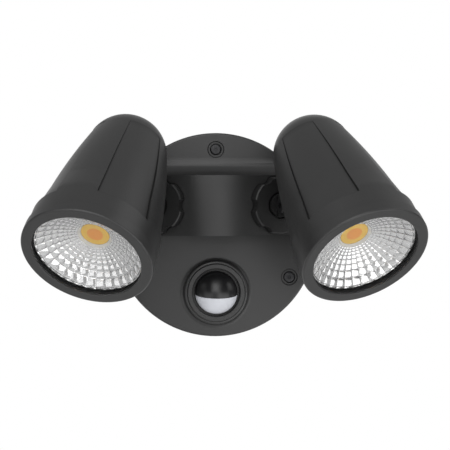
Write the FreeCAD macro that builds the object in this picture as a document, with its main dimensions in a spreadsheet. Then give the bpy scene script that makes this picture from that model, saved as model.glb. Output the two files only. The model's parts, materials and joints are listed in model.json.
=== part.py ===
import FreeCAD, Part
import math
import os
import Sketcher

# Twin-head motion sensor security light, in millimetres.
# Frame: the wall is the plane y = 0, the light stands in front of it towards -Y, +Z is up and
# +X is to the viewer's right. The origin is the centre of the round canopy, on the wall.

SIZES = [
    # Round canopy
    ("plate_radius", 70.0, "outer radius of the round canopy"),
    ("plate_depth", 18.0, "wall to the canopy's front face"),
    ("plate_wall", 3.0, "wall thickness of the canopy casting"),
    ("rim_rounding", 1.4, "rounding of the canopy's front edge"),
    ("gasket_depth", 2.0, "thickness of the foam gasket on the wall"),
    ("gasket_width", 6.0, "radial width of the foam gasket"),
    ("gasket_inset", 0.5, "gasket's edge inside the canopy's edge"),
    ("block_height", 41.0, "height of the wedge block, which stands on the middle line"),
    ("block_wall", 3.0, "wall thickness of the wedge block"),
    ("nose_half_width", 20.0, "half width of the block's rounded nose"),
    ("cove_radius", 12.0, "hollow rounding from the block's top into the plate"),
    ("hollow_inset", 19.0, "end wall of the block's hollow inside the canopy's edge"),
    # Swivel seats on the block's slanted faces
    ("seat_inset", 30.0, "seat centres inside the canopy's edge, measured straight across"),
    ("seat_depth", 29.0, "seat centre from the wall"),
    ("seat_yaw_deg", 22.65, "seat axis turned outward from straight ahead"),
    ("spigot_radius", 15.0, "outer radius of the threaded spigot"),
    ("spigot_height", 2.6, "height of the threaded spigot"),
    # Cover screws
    ("screw_inset", 11.3, "cover screws' centres inside the canopy's edge"),
    ("screw_count", 3.0, "number of cover screws"),
    ("counterbore_radius", 5.8, "radius of the shallow counterbores round the screws"),
    ("counterbore_depth", 0.8, "depth of the shallow counterbores"),
    ("screw_recess", 2.6, "counterbore's floor to the seat of a screw's head"),
    ("screw_recess_gap", 0.5, "radial gap round a screw's head"),
    ("screw_head_radius", 3.7, "radius of a cover screw's head"),
    ("screw_head_height", 2.5, "height of a cover screw's head"),
    ("screw_edge", 0.9, "edge rounding of a cover screw's head"),
    ("screw_radius", 2.0, "radius of a cover screw's shank"),
    ("screw_socket_radius", 1.44, "corner radius of the hexagon socket"),
    ("screw_socket_depth", 1.3, "depth of the hexagon socket"),
    ("screw_tip_depth", 4.0, "wall to the tip of a cover screw"),
    ("screw_clearance", 0.3, "radial clearance of the cover screws"),
    ("boss_radius", 8.0, "radius of the screw bosses inside the canopy"),
    ("post_radius", 3.7, "radius of the threaded posts on the bracket"),
    ("post_height", 8.0, "height of the threaded posts above the bracket"),
    ("post_gap", 0.1, "gap between a post and its screw boss"),
    # Mounting bracket
    ("bracket_thickness", 2.0, "sheet thickness of the mounting bracket"),
    ("bracket_gap", 1.0, "radial gap between the bracket and the gasket"),
    ("cable_hole_radius", 9.0, "radius of the cable hole in the bracket"),
    ("slot_spacing", 84.0, "spacing of the two wall screw slots"),
    ("slot_length", 16.0, "end-to-end length of a wall screw slot"),
    ("slot_half_width", 2.6, "half the width of a wall screw slot"),
    ("grommet_bore_radius", 4.0, "radius of the grommet's cable hole"),
    ("grommet_lip", 2.0, "width of the grommet's lips"),
    ("grommet_lip_height", 1.6, "height of the grommet's inner lip"),
    # Driver, terminals and control board
    ("driver_inset", 14.0, "driver's ends inside the swivel seats' centres"),
    ("driver_gap", 2.0, "gap above and below the driver in the block"),
    ("driver_depth", 20.0, "depth of the potted driver"),
    ("driver_stand", 4.5, "height of the driver's feet"),
    ("driver_foot_width", 5.0, "width of the driver's feet"),
    ("driver_rounding", 2.0, "corner rounding of the potted driver"),
    ("terminal_width", 27.0, "width of the terminal block"),
    ("terminal_height", 11.0, "height of the terminal block"),
    ("terminal_depth", 9.0, "depth of the terminal block"),
    ("terminal_across", 17.0, "terminal block's near side from the middle"),
    ("terminal_drop", 14.5, "terminal block's lower side below the middle line"),
    ("terminal_ways", 3.0, "number of terminals"),
    ("terminal_hole_radius", 2.0, "radius of a terminal's screw well"),
    ("terminal_well_depth", 5.4, "depth of a terminal's screw well"),
    ("control_width", 30.0, "width of the control board"),
    ("control_height", 13.0, "height of the control board"),
    ("board_thickness", 1.6, "thickness of the circuit boards"),
    ("control_stand", 3.0, "height of the control board's stand-offs"),
    ("stand_off_radius", 1.6, "radius of the stand-offs"),
    ("stand_off_inset", 3.0, "stand-offs' centres inside the board's edges"),
    ("relay_width", 15.0, "width of the relay"),
    ("relay_height", 9.0, "height of the relay"),
    ("relay_depth", 5.0, "depth of the relay"),
    ("relay_across", 12.0, "relay's near side from the board's left side"),
    ("relay_rise", 2.0, "relay's lower side above the board's lower side"),
    # Motion sensor
    ("sensor_drop", 39.5, "sensor centre below the middle line"),
    ("ball_stand", 3.5, "centre of the sensor ball in front of the canopy's face"),
    ("ball_radius", 14.6, "outer radius of the sensor ball"),
    ("ball_wall", 1.4, "wall thickness of the sensor ball"),
    ("ball_clearance", 0.3, "clearance of the ball in its spherical seat"),
    ("ball_tilt_deg", 9.0, "downward tilt of the ball"),
    ("ball_back_cut", 10.5, "centre of the ball to its open back"),
    ("lens_top_drop", 0.9, "upper edge of the lens below the ball's centre"),
    ("lens_back", 2.5, "rear edge of the lens behind the ball's centre"),
    ("lens_gap", 0.12, "gap between the lens and the ball's edges"),
    ("collar_face", 3.5, "width of the collar's flat face"),
    ("collar_opening_gap", 1.7, "gap between the ball and the collar's opening"),
    ("collar_height", 6.0, "collar's height above the canopy face"),
    ("collar_tube_wall", 0.7, "wall of the collar's tube in front of its seat"),
    ("collar_tube_gap", 0.1, "gap between the collar's tube and the canopy"),
    ("collar_step_depth", 4.6, "depth of the opening down to the seat"),
    ("collar_tube_depth", 7.5, "length of the collar's tube behind the canopy's face"),
    ("collar_edge", 0.5, "bevel of the collar's front edges"),
    ("collar_seat_end", 2.0, "rear end of the spherical seat in front of the tube's end"),
    ("collar_seam", 0.3, "seam between the collar and the canopy's raised rim"),
    ("hood_height", 5.0, "height of the canopy's raised rim round the sensor"),
    ("hood_wall", 1.8, "wall of the raised rim at its top"),
    ("hood_rounding", 1.5, "edge rounding of the raised rim"),
    ("hood_cove", 3.0, "hollow rounding from the raised rim into the canopy's face"),
    ("seal_radius", 0.9, "section radius of the sensor seal"),
    ("pyro_radius", 4.5, "radius of the infrared detector can"),
    ("pyro_height", 4.4, "height of the infrared detector can"),
    ("pyro_flange", 0.5, "width and height of the can's flange"),
    ("pyro_edge", 0.4, "bevel of the can's edge"),
    ("sensor_board_back", 4.5, "board's back behind the ball's centre"),
    # Lock ring and swivel arm
    ("ring_wall", 3.9, "radial wall of the lobed lock ring"),
    ("ring_seat_gap", 0.4, "gap between the lock ring and the block"),
    ("ring_lip", 1.8, "thickness of the lock ring's front lip"),
    ("ring_bore_gap", 0.4, "radial gap between ring and spigot"),
    ("ring_neck_gap", 1.2, "radial gap between ring lip and arm neck"),
    ("ring_lobes", 6.0, "number of lobes of the lock ring"),
    ("lobe_notch_radius", 6.0, "radius of the notches between the lobes"),
    ("lobe_notch_depth", 2.3, "depth of the notches between the lobes"),
    ("ring_edge", 0.8, "chamfer of the lock ring's front edge"),
    ("washer_thickness", 0.8, "thickness of the swivel washer"),
    ("washer_gap", 0.4, "radial gap between the washer and the journal"),
    ("flange_radius", 12.0, "radius of the arm's flange"),
    ("flange_thickness", 1.8, "thickness of the arm's flange"),
    ("flange_gap", 0.1, "gap between the flange and its neighbours"),
    ("journal_radius", 8.0, "radius of the arm's journal and neck"),
    ("journal_depth", 8.5, "length of the journal behind the seat"),
    ("running_fit", 0.05, "radial clearance of the running fits"),
    ("tongue_foot", 2.7, "straight foot of the tongue below its round end"),
    ("tongue_half", 3.6, "half the thickness of the arm's tongue"),
    ("tongue_rise", 0.5, "gap between the lock ring and the tongue's foot"),
    ("knuckle_radius", 7.6, "radius of the knuckle's round ends"),
    ("neck_gap", 0.6, "gap between the arm's neck and the lug"),
    ("knuckle_edge", 0.7, "edge rounding of the knuckle"),
    ("clip_height", 1.6, "thickness of the journal's retaining ring"),
    ("clip_width", 2.4, "radial width of the journal's retaining ring"),
    # Knuckle bolt
    ("bolt_radius", 3.0, "radius of the knuckle bolt"),
    ("bolt_head_radius", 5.2, "radius of the bolt's head"),
    ("bolt_head_height", 3.0, "height of the bolt's head"),
    ("bolt_socket_radius", 2.3, "corner radius of the bolt's hexagon socket"),
    ("bolt_socket_depth", 1.8, "depth of the bolt's hexagon socket"),
    ("knuckle_washer_thickness", 0.8, "thickness of the washer between tongue and lug"),
    ("lug_gap", 0.1, "gap beside the lug"),
    ("lug_thickness", 7.4, "thickness of the lamp head's lug"),
    ("lug_flare_front", 4.6, "how far the lug widens to the front at its root"),
    ("lug_flare_back", 1.6, "how far the lug widens to the rear at its root"),
    ("nut_height", 4.0, "height of the knuckle nut"),
    ("nut_corner_radius", 5.7, "corner radius of the knuckle nut"),
    # Lamp head
    ("tilt_deg", 44.62, "lamp head's downward tilt from its arm"),
    ("pivot_drop", 38.0, "pivot below the lamp head's axis"),
    ("pivot_setback", 82.9, "pivot behind the lamp head's front"),
    ("head_length", 119.0, "length of the lamp head"),
    ("rim_radius", 42.5, "outer radius of the front ring"),
    ("rim_depth", 7.6, "depth of the front ring"),
    ("rim_edge", 1.4, "edge rounding of the front ring"),
    ("rim_lip", 2.0, "thickness of the front ring's lip"),
    ("window_overlap", 2.5, "front ring's overlap on the glass"),
    ("window_bevel", 0.4, "bevel of the opening's edge"),
    ("rim_seam", 0.4, "seam between the front ring and the housing"),
    ("band_step", 1.0, "front ring's edge outside the housing's front band"),
    ("band_end", 22.3, "rear end of the front band"),
    ("shoulder_radius", 38.3, "radius where the tapered body starts"),
    ("shoulder_setback", 38.9, "start of the tapered body"),
    ("waist_radius", 33.6, "radius half way along the tapered body"),
    ("waist_setback", 67.7, "half way along the tapered body"),
    ("tail_radius", 26.4, "radius where the rounded tail starts"),
    ("tail_length", 21.0, "length of the rounded tail"),
    ("facet_count", 4.0, "number of recessed panels round the body"),
    ("facet_width_deg", 52.0, "width of a recessed panel"),
    ("facet_lead", 2.7, "front end of the panels before the band's rear end"),
    ("facet_depth", 1.3, "depth of the panels at their front end"),
    ("facet_waist_depth", 0.9, "depth of the panels half way along the body"),
    ("facet_tail_depth", 0.3, "depth of the panels where the tail starts"),
    ("facet_run_out", 10.0, "panels' run-out behind the start of the tail"),
    ("facet_rise", 2.0, "panels' rise out of the tail at their end"),
    ("rim_wall", 2.2, "front ring's wall round the housing's spigot"),
    ("spigot_fit", 0.2, "radial gap of the housing's front spigot"),
    ("spigot_wall", 2.0, "wall of the housing's front spigot"),
    ("glass_thickness", 2.0, "thickness of the front glass"),
    ("glass_gap", 0.3, "radial gap round the front glass"),
    ("stack_gap", 0.2, "play along the axis in front of the reflector"),
    ("lens_gasket_thickness", 0.6, "thickness of the front gasket"),
    ("lens_gasket_show", 0.4, "front gasket's edge inside the window"),
    ("seat_ring_thickness", 0.8, "thickness of the seal behind the glass"),
    ("glass_seat", 1.6, "width of the ledge under the glass"),
    ("reflector_flange", 1.0, "width of the reflector's flange"),
    ("reflector_gap", 0.3, "radial gap round the reflector's flange"),
    ("reflector_wall", 1.0, "wall thickness of the reflector"),
    ("reflector_plain", 1.0, "width of the plain zone at the front edge"),
    ("reflector_throat", 10.9, "radius of the reflector's throat"),
    ("reflector_depth", 13.8, "depth of the reflector"),
    ("reflector_rows", 8.0, "rows of facets"),
    ("reflector_columns", 48.0, "facets in a row"),
    ("phosphor_radius", 9.2, "radius of the yellow phosphor disc"),
    ("phosphor_height", 0.9, "height of the phosphor disc"),
    ("chip_board_radius", 13.0, "radius of the light source's board"),
    ("chip_board_thickness", 1.4, "thickness of the light source's board"),
    ("clamp_outer_radius", 20.6, "outer radius of the clamping ring"),
    ("clamp_hub_radius", 12.6, "outer radius of the clamping ring's hub"),
    ("clamp_flare", 0.3, "clamping ring's opening outside the reflector's throat"),
    ("clamp_cone", 1.7, "depth of the clamping ring's conical opening"),
    ("clamp_margin", 0.4, "gap between the phosphor disc and the clamping ring"),
    ("clamp_height", 2.6, "reflector's throat to the light source's board"),
    ("clamp_step", 1.4, "clamping ring's hub in front of its flange"),
    ("clamp_gap", 0.2, "radial gap between the clamping ring and the board"),
    ("clamp_screw_radius", 1.5, "radius of the clamping screws"),
    ("clamp_screw_circle", 17.6, "radius of the clamping screws' circle"),
    ("clamp_screw_head", 2.4, "radius of the clamping screws' heads"),
    ("clamp_screw_height", 0.8, "height of the clamping screws' heads"),
    ("heat_plate_step", 1.6, "heat spreader's edge inside the ledge"),
    ("heat_plate_thickness", 4.0, "thickness of the heat spreader"),
    ("heat_plate_gap", 0.3, "radial gap round the heat spreader"),
    ("chamber_wall", 6.1, "body's wall outside the chamber's straight part"),
    ("chamber_straight", 5.1, "end of the chamber's straight part behind the body's shoulder"),
    ("tail_wall", 3.5, "body's wall where the rounded tail starts"),
    ("end_wall", 6.0, "wall at the tail's end"),
]


class Size:
    """A length or angle that knows its number and the cell formula that gives it."""

    def __init__(self, value, text):
        self.value = value
        self.text = text

    def __add__(self, other):
        other = as_size(other)
        return Size(self.value + other.value, f"({self.text} + {other.text})")

    def __sub__(self, other):
        other = as_size(other)
        return Size(self.value - other.value, f"({self.text} - {other.text})")

    def __mul__(self, other):
        other = as_size(other)
        return Size(self.value * other.value, f"({self.text} * {other.text})")

    def __truediv__(self, other):
        other = as_size(other)
        return Size(self.value / other.value, f"({self.text} / {other.text})")

    def __radd__(self, other):
        return as_size(other) + self

    def __rsub__(self, other):
        return as_size(other) - self

    def __rmul__(self, other):
        return as_size(other) * self

    def __neg__(self):
        return Size(-self.value, f"(0 - {self.text})")


def as_size(number):
    return number if isinstance(number, Size) else Size(float(number), repr(float(number)))


def sine(angle):
    return Size(math.sin(math.radians(angle.value)), f"sin({angle.text})")


def cosine(angle):
    return Size(math.cos(math.radians(angle.value)), f"cos({angle.text})")


def tangent(angle):
    return sine(angle) / cosine(angle)


def root(square):
    return Size(math.sqrt(square.value), f"sqrt({square.text})")


class Sheet:
    """The spreadsheet of driving dimensions, read by name."""

    def __init__(self, document):
        cells = document.addObject("Spreadsheet::Sheet", "Sizes")
        for row, (alias, value, meaning) in enumerate(SIZES, start=1):
            cells.set(f"A{row}", meaning)
            cells.set(f"B{row}", str(value))
            cells.setAlias(f"B{row}", alias)
            setattr(self, alias, Size(value, f"Sizes.{alias}"))
        document.recompute()


doc = FreeCAD.newDocument("security_light")
d = Sheet(doc)
SIDES = {"left": -1, "right": 1}
SUBPARTS = []
BIG = 200.0
OVERLAP = 1.0


# Small tools for sketches and features


def bind(feature, **sizes):
    """Bind properties of a feature to sheet formulas."""
    for name, size in sizes.items():
        feature.setExpression(name, as_size(size).text)
    return feature


def new_body(label, placement=None):
    body = doc.addObject("PartDesign::Body", label)
    body.Label = label
    if placement is not None:
        body.Placement = placement
    SUBPARTS.append(body)
    return body


def origin_feature(body, role):
    return next(item for item in body.Origin.OriginFeatures if item.Role == role)


def new_sketch(body, role, name, offset=None, place=None):
    """A sketch on an origin plane, moved along its normal by offset, or set at a placement."""
    sketch = body.newObject("Sketcher::SketchObject", f"{body.Label}_{name}")
    sketch.AttachmentSupport = [(origin_feature(body, role), "")]
    sketch.MapMode = "FlatFace"
    if place is not None:
        sketch.AttachmentOffset = place
    if offset is not None:
        sketch.setExpression("AttachmentOffset.Base.z", as_size(offset).text)
    return sketch


def pin_coordinate(sketch, kind, geometry, end, size):
    """Hold one coordinate of a point at a size; zero puts the point on the axis."""
    size = as_size(size)
    if size.value == 0 and size.text == "0.0":
        axis = -2 if kind == "DistanceX" else -1
        sketch.addConstraint(Sketcher.Constraint("PointOnObject", geometry, end, axis))
        return
    index = sketch.addConstraint(Sketcher.Constraint(kind, -1, 1, geometry, end, size.value))
    sketch.setExpression(f"Constraints[{index}]", size.text)


def vector(point):
    return FreeCAD.Vector(as_size(point[0]).value, as_size(point[1]).value, 0)


def draw_loop(sketch, points):
    """Draw a closed loop. A point is (x, y), or (x, y, (mx, my)) when an arc through
    (mx, my) leads to it from the point before."""
    first = sketch.GeometryCount
    count = len(points)
    for index in range(count):
        start = points[index]
        end = points[(index + 1) % count]
        if len(end) == 3:
            points_on_arc = [vector(start), vector(end[2]), vector(end)]
            rise = (points_on_arc[1] - points_on_arc[0]).cross(points_on_arc[2] - points_on_arc[1])
            if rise.z < 0:
                points_on_arc.reverse()
            sketch.addGeometry(Part.Arc(*points_on_arc))
        else:
            sketch.addGeometry(Part.LineSegment(vector(start), vector(end)))
    ends = []
    for index in range(count):
        edge = sketch.Geometry[first + index]
        start = vector(points[index])
        flipped = edge.StartPoint.distanceToPoint(start) > edge.EndPoint.distanceToPoint(start)
        ends.append((2, 1) if flipped else (1, 2))
    for index in range(count):
        following = (index + 1) % count
        joint = Sketcher.Constraint(
            "Coincident", first + index, ends[index][1], first + following, ends[following][0])
        sketch.addConstraint(joint)
    for index in range(count):
        pin_coordinate(sketch, "DistanceX", first + index, ends[index][0], points[index][0])
        pin_coordinate(sketch, "DistanceY", first + index, ends[index][0], points[index][1])
    for index in range(count):
        end = points[(index + 1) % count]
        if len(end) == 3:
            middle = sketch.addGeometry(Part.Point(vector(end[2])), True)
            pin_coordinate(sketch, "DistanceX", middle, 1, end[2][0])
            pin_coordinate(sketch, "DistanceY", middle, 1, end[2][1])
            sketch.addConstraint(Sketcher.Constraint("PointOnObject", middle, 1, first + index))
    return sketch


def draw_circle(sketch, centre, radius):
    radius = as_size(radius)
    index = sketch.addGeometry(
        Part.Circle(vector(centre), FreeCAD.Vector(0, 0, 1), radius.value))
    pin_coordinate(sketch, "DistanceX", index, 3, centre[0])
    pin_coordinate(sketch, "DistanceY", index, 3, centre[1])
    row = sketch.addConstraint(Sketcher.Constraint("Radius", index, radius.value))
    sketch.setExpression(f"Constraints[{row}]", radius.text)
    return sketch


def hexagon(radius, centre=(0.0, 0.0)):
    """Corners of a hexagon, as points for draw_loop."""
    corners = []
    for turn in range(6):
        angle = as_size(60.0 * turn)
        corners.append((centre[0] + radius * cosine(angle), centre[1] + radius * sine(angle)))
    return corners


def turned(body, kind, sketch, name, angle=360.0, symmetric=False):
    """Revolve a sketch round its own vertical axis, added or cut."""
    feature = body.newObject(f"PartDesign::{kind}", f"{body.Label}_{name}")
    feature.Profile = sketch
    feature.ReferenceAxis = (sketch, ["V_Axis"])
    feature.Midplane = symmetric
    bind(feature, Angle=angle)
    return feature


def raised(body, sketch, name, length, symmetric=False, backward=False):
    pad = body.newObject("PartDesign::Pad", f"{body.Label}_{name}")
    pad.Profile = sketch
    pad.SideType = "Symmetric" if symmetric else "One side"
    pad.Reversed = backward
    return bind(pad, Length=length)


def sunk(body, sketch, name, length, symmetric=False, backward=False):
    pocket = body.newObject("PartDesign::Pocket", f"{body.Label}_{name}")
    pocket.Profile = sketch
    pocket.SideType = "Symmetric" if symmetric else "One side"
    pocket.Reversed = backward
    return bind(pocket, Length=length)


def around(body, features, name, role, count):
    """Repeat features round an origin axis of the body."""
    pattern = body.newObject("PartDesign::PolarPattern", f"{body.Label}_{name}")
    pattern.Originals = features
    pattern.Axis = (origin_feature(body, role), [""])
    pattern.Angle = 360.0
    bind(pattern, Occurrences=count)
    body.Tip = pattern
    return pattern


def ring_piece(label, placement, inner, outer, low, high):
    """A plain ring about the local Z axis, between two heights."""
    body = new_body(label, placement)
    sketch = new_sketch(body, "XZ_Plane", "section")
    draw_loop(sketch, [(inner, low), (outer, low), (outer, high), (inner, high)])
    turned(body, "Revolution", sketch, "ring")
    return body


def disc_piece(label, placement, radius, low, high):
    """A plain disc about the local Z axis, between two heights."""
    return ring_piece(label, placement, 0, radius, low, high)


def edge_at(shape, test):
    """Names of the edges that pass a test of their middle point."""
    names = []
    for number, edge in enumerate(shape.Edges, start=1):
        middle = edge.valueAt((edge.FirstParameter + edge.LastParameter) / 2)
        if test(middle, edge):
            names.append(f"Edge{number}")
    return names


# Sizes that several pieces share


def screw_circle():
    """Radius of the circle of cover screws, bosses and posts."""
    return d.plate_radius - d.screw_inset


def gasket_outer_radius():
    return d.plate_radius - d.gasket_inset


def seat_across():
    """Seat centre from the middle plane."""
    return d.plate_radius - d.seat_inset


def driver_width():
    return 2 * (seat_across() - d.driver_inset)


def seat_height():
    return d.block_height / 2


def sensor_depth():
    return d.plate_depth + d.ball_stand


def collar_opening_radius():
    return d.ball_radius + d.collar_opening_gap


def collar_tube_radius():
    return collar_opening_radius() + d.collar_tube_wall


def collar_radius():
    return collar_opening_radius() + d.collar_face


def flange_low():
    """Rear face of the arm's flange, in front of its washer."""
    return d.spigot_height + d.washer_thickness + d.flange_gap


def ring_height():
    return flange_low() + d.flange_thickness + d.flange_gap + d.ring_lip


def ring_radius():
    return d.spigot_radius + d.ring_bore_gap + d.ring_wall


def tongue_low():
    return ring_height() + d.tongue_rise


def pivot_reach():
    """Tilt pivot in front of the swivel seat."""
    return tongue_low() + d.tongue_foot + d.knuckle_radius


def band_radius():
    return d.rim_radius - d.band_step


def socket_radius():
    return d.rim_radius - d.rim_wall


def front_spigot_radius():
    return socket_radius() - d.spigot_fit


def glass_pocket_radius():
    return front_spigot_radius() - d.spigot_wall


def glass_radius():
    return glass_pocket_radius() - d.glass_gap


def window_radius():
    return glass_radius() - d.window_overlap


def ledge_radius():
    return glass_radius() - d.glass_seat


def reflector_flange_radius():
    return ledge_radius() - d.reflector_gap


def reflector_mouth_radius():
    return reflector_flange_radius() - d.reflector_flange


def heat_plate_radius():
    return ledge_radius() - d.heat_plate_step


def tail_setback():
    return d.head_length - d.tail_length


def glass_front():
    return d.rim_lip + d.lens_gasket_thickness


def reflector_front():
    return glass_front() + d.glass_thickness + d.seat_ring_thickness + d.stack_gap


def throat_setback():
    return reflector_front() + d.reflector_depth


def chip_board_front():
    return throat_setback() + d.clamp_height


def clamp_back():
    """Front face of the heat spreader, on which the light source's board lies."""
    return chip_board_front() + d.chip_board_thickness


def heat_plate_back():
    return clamp_back() + d.heat_plate_thickness


# Frames: local X to the viewer's right, local Y up, local Z away from the wall


def facing(point, yaw=0.0):
    """Frame at a point, facing forward and turned by yaw degrees to the right."""
    angle = math.radians(yaw)
    forward = FreeCAD.Vector(math.sin(angle), -math.cos(angle), 0)
    up = FreeCAD.Vector(0, 0, 1)
    rotation = FreeCAD.Rotation(up.cross(forward), up, forward, "ZYX")
    return FreeCAD.Placement(point, rotation)


def seat_frame(side):
    across = side * seat_across().value
    point = FreeCAD.Vector(across, -d.seat_depth.value, seat_height().value)
    return facing(point, side * d.seat_yaw_deg.value)


def lug_offset():
    """Middle of the head's lug from the swivel axis, towards the outside."""
    return d.tongue_half + d.knuckle_washer_thickness + d.lug_gap + d.lug_thickness / 2


def head_frame(side):
    """Frame of a lamp head: local Z from its front ring to its tail, local Y its upper side."""
    seat = seat_frame(side)
    tilt = math.radians(d.tilt_deg.value)
    pivot = FreeCAD.Vector(side * lug_offset().value, 0, pivot_reach().value)
    beam = FreeCAD.Vector(0, -math.sin(tilt), math.cos(tilt))
    upper = FreeCAD.Vector(0, math.cos(tilt), math.sin(tilt))
    front = pivot + upper * d.pivot_drop.value + beam * d.pivot_setback.value
    rotation = FreeCAD.Rotation(upper.cross(-beam), upper, -beam, "ZYX")
    return seat.multiply(FreeCAD.Placement(front, rotation))


def bolt_frame(side):
    """Frame on a knuckle's tilt axis: local Z points outward along the bolt."""
    axis = FreeCAD.Vector(side, 0, 0)
    up = FreeCAD.Vector(0, 1, 0)
    rotation = FreeCAD.Rotation(up.cross(axis), up, axis, "ZYX")
    pivot = FreeCAD.Vector(0, 0, pivot_reach().value)
    return seat_frame(side).multiply(FreeCAD.Placement(pivot, rotation))


def sensor_frame():
    return facing(FreeCAD.Vector(0, 0, -d.sensor_drop.value))


def ball_frame():
    centre = FreeCAD.Vector(0, -sensor_depth().value, -d.sensor_drop.value)
    tilt = FreeCAD.Rotation(FreeCAD.Vector(1, 0, 0), d.ball_tilt_deg.value)
    return facing(centre).multiply(FreeCAD.Placement(FreeCAD.Vector(), tilt))


# Canopy


def slanted_face_depth(across, inset):
    """Depth of a slanted block face from the wall, set back by inset along its normal."""
    seat_back = d.seat_depth - inset * cosine(d.seat_yaw_deg)
    seat_over = seat_across() - inset * sine(d.seat_yaw_deg)
    return seat_back - (across - seat_over) * tangent(d.seat_yaw_deg)


def wedge_outline(half_width, back, inset):
    """Plan outline of the wedge block: slanted faces that meet in a rounded nose."""
    nose = d.nose_half_width - inset * sine(d.seat_yaw_deg)
    nose_depth = slanted_face_depth(nose, inset)
    nose_radius = d.nose_half_width / sine(d.seat_yaw_deg) - inset
    apex = nose_depth + nose_radius * (1 - cosine(d.seat_yaw_deg))
    end_depth = slanted_face_depth(half_width, inset)
    return [
        (-half_width, -back), (half_width, -back), (half_width, -end_depth),
        (nose, -nose_depth), (-nose, -nose_depth, (0, -apex)), (-half_width, -end_depth),
    ]


def make_canopy():
    """Round dish with the wedge block, the cove, seats, screw bosses and sensor opening."""
    body = new_body("canopy_housing")
    front = d.plate_depth
    inner = front - d.plate_wall
    side = d.plate_radius - d.plate_wall
    curve = d.rim_rounding * (1 - math.sqrt(0.5))
    dish = new_sketch(body, "XY_Plane", "dish")
    draw_loop(dish, [
        (0, -front), (d.plate_radius - d.rim_rounding, -front),
        (d.plate_radius, d.rim_rounding - front, (d.plate_radius - curve, curve - front)),
        (d.plate_radius, -d.gasket_depth), (side, -d.gasket_depth), (side, -inner), (0, -inner),
    ])
    turned(body, "Revolution", dish, "dish_turned")

    wedge = new_sketch(body, "XY_Plane", "wedge")
    half = d.plate_radius - d.rim_rounding
    draw_loop(wedge, wedge_outline(half, inner + OVERLAP, as_size(0)))
    raised(body, wedge, "wedge_block", d.block_height + d.cove_radius)

    top = d.block_height
    crest = top + d.cove_radius
    bend = d.cove_radius * (1 - math.sqrt(0.5))
    cove = new_sketch(body, "YZ_Plane", "cove")
    draw_loop(cove, [
        (-front, crest), (-front - d.cove_radius, top, (-front - bend, top + bend)),
        (-front - BIG, top), (-front - BIG, crest + OVERLAP), (-front, crest + OVERLAP),
    ])
    sunk(body, cove, "cove_cut", BIG, symmetric=True)

    hollow = new_sketch(body, "XY_Plane", "hollow", offset=d.block_wall)
    draw_loop(hollow, wedge_outline(d.plate_radius - d.hollow_inset, inner - OVERLAP, d.block_wall))
    sunk(body, hollow, "hollow_cut", d.block_height - 2 * d.block_wall, backward=True)

    for name, side_sign in SIDES.items():
        place = seat_frame(side_sign)
        seat = new_sketch(body, "XY_Plane", f"{name}_seat", place=place)
        draw_circle(seat, (0, 0), d.spigot_radius)
        raised(body, seat, f"{name}_spigot", d.spigot_height)
        bore = new_sketch(body, "XY_Plane", f"{name}_bore", place=place)
        draw_circle(bore, (0, 0), d.journal_radius + d.running_fit)
        sunk(body, bore, f"{name}_bore_cut", 4 * (d.block_wall + d.spigot_height), symmetric=True)

    make_sensor_hood(body)

    foot = d.bracket_thickness + d.post_height + d.post_gap
    boss = new_sketch(body, "XZ_Plane", "boss", offset=foot)
    draw_circle(boss, (0, screw_circle()), d.boss_radius)
    boss_pad = raised(body, boss, "boss_pad", inner + OVERLAP - foot)
    bore = new_sketch(body, "XZ_Plane", "screw_bore")
    draw_circle(bore, (0, screw_circle()), d.screw_radius + d.screw_clearance)
    bore_cut = sunk(body, bore, "screw_bore_cut", 4 * front, symmetric=True)
    sink = new_sketch(body, "XZ_Plane", "counterbore", offset=front + OVERLAP)
    draw_circle(sink, (0, screw_circle()), d.counterbore_radius)
    sink_cut = sunk(body, sink, "counterbore_cut", d.counterbore_depth + OVERLAP)
    recess = new_sketch(body, "XZ_Plane", "recess", offset=front + OVERLAP)
    draw_circle(recess, (0, screw_circle()), d.screw_head_radius + d.screw_recess_gap)
    recess_cut = sunk(
        body, recess, "recess_cut", d.counterbore_depth + d.screw_recess + OVERLAP)
    cuts = [boss_pad, bore_cut, sink_cut, recess_cut]
    around(body, cuts, "screw_places", "Y_Axis", d.screw_count)


def make_sensor_hood(body):
    """Raised rim round the sensor, with a rounded edge and a cove into the canopy's face."""
    face = d.plate_depth
    pocket = collar_radius() + d.collar_seam
    flank = pocket + d.hood_wall
    top = face + d.hood_height
    edge = d.hood_rounding
    curve = edge * (1 - math.sqrt(0.5))
    cove = d.hood_cove
    bend = cove * (1 - math.sqrt(0.5))
    rim = new_sketch(body, "XY_Plane", "hood", offset=-d.sensor_drop)
    draw_loop(rim, [
        (0, OVERLAP - face), (flank + cove, OVERLAP - face), (flank + cove, -face),
        (flank, -face - cove, (flank + bend, -face - bend)), (flank, edge - top),
        (flank - edge, -top, (flank - curve, curve - top)), (0, -top),
    ])
    turned(body, "Revolution", rim, "hood_turned")
    seat = new_sketch(body, "XZ_Plane", "collar_seat", offset=face)
    draw_circle(seat, (0, -d.sensor_drop), pocket)
    sunk(body, seat, "collar_seat_cut", 2 * d.hood_height, backward=True)
    opening = new_sketch(body, "XZ_Plane", "sensor_opening")
    draw_circle(opening, (0, -d.sensor_drop), collar_tube_radius() + d.collar_tube_gap)
    sunk(body, opening, "sensor_cut", 4 * face, symmetric=True)


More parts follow.
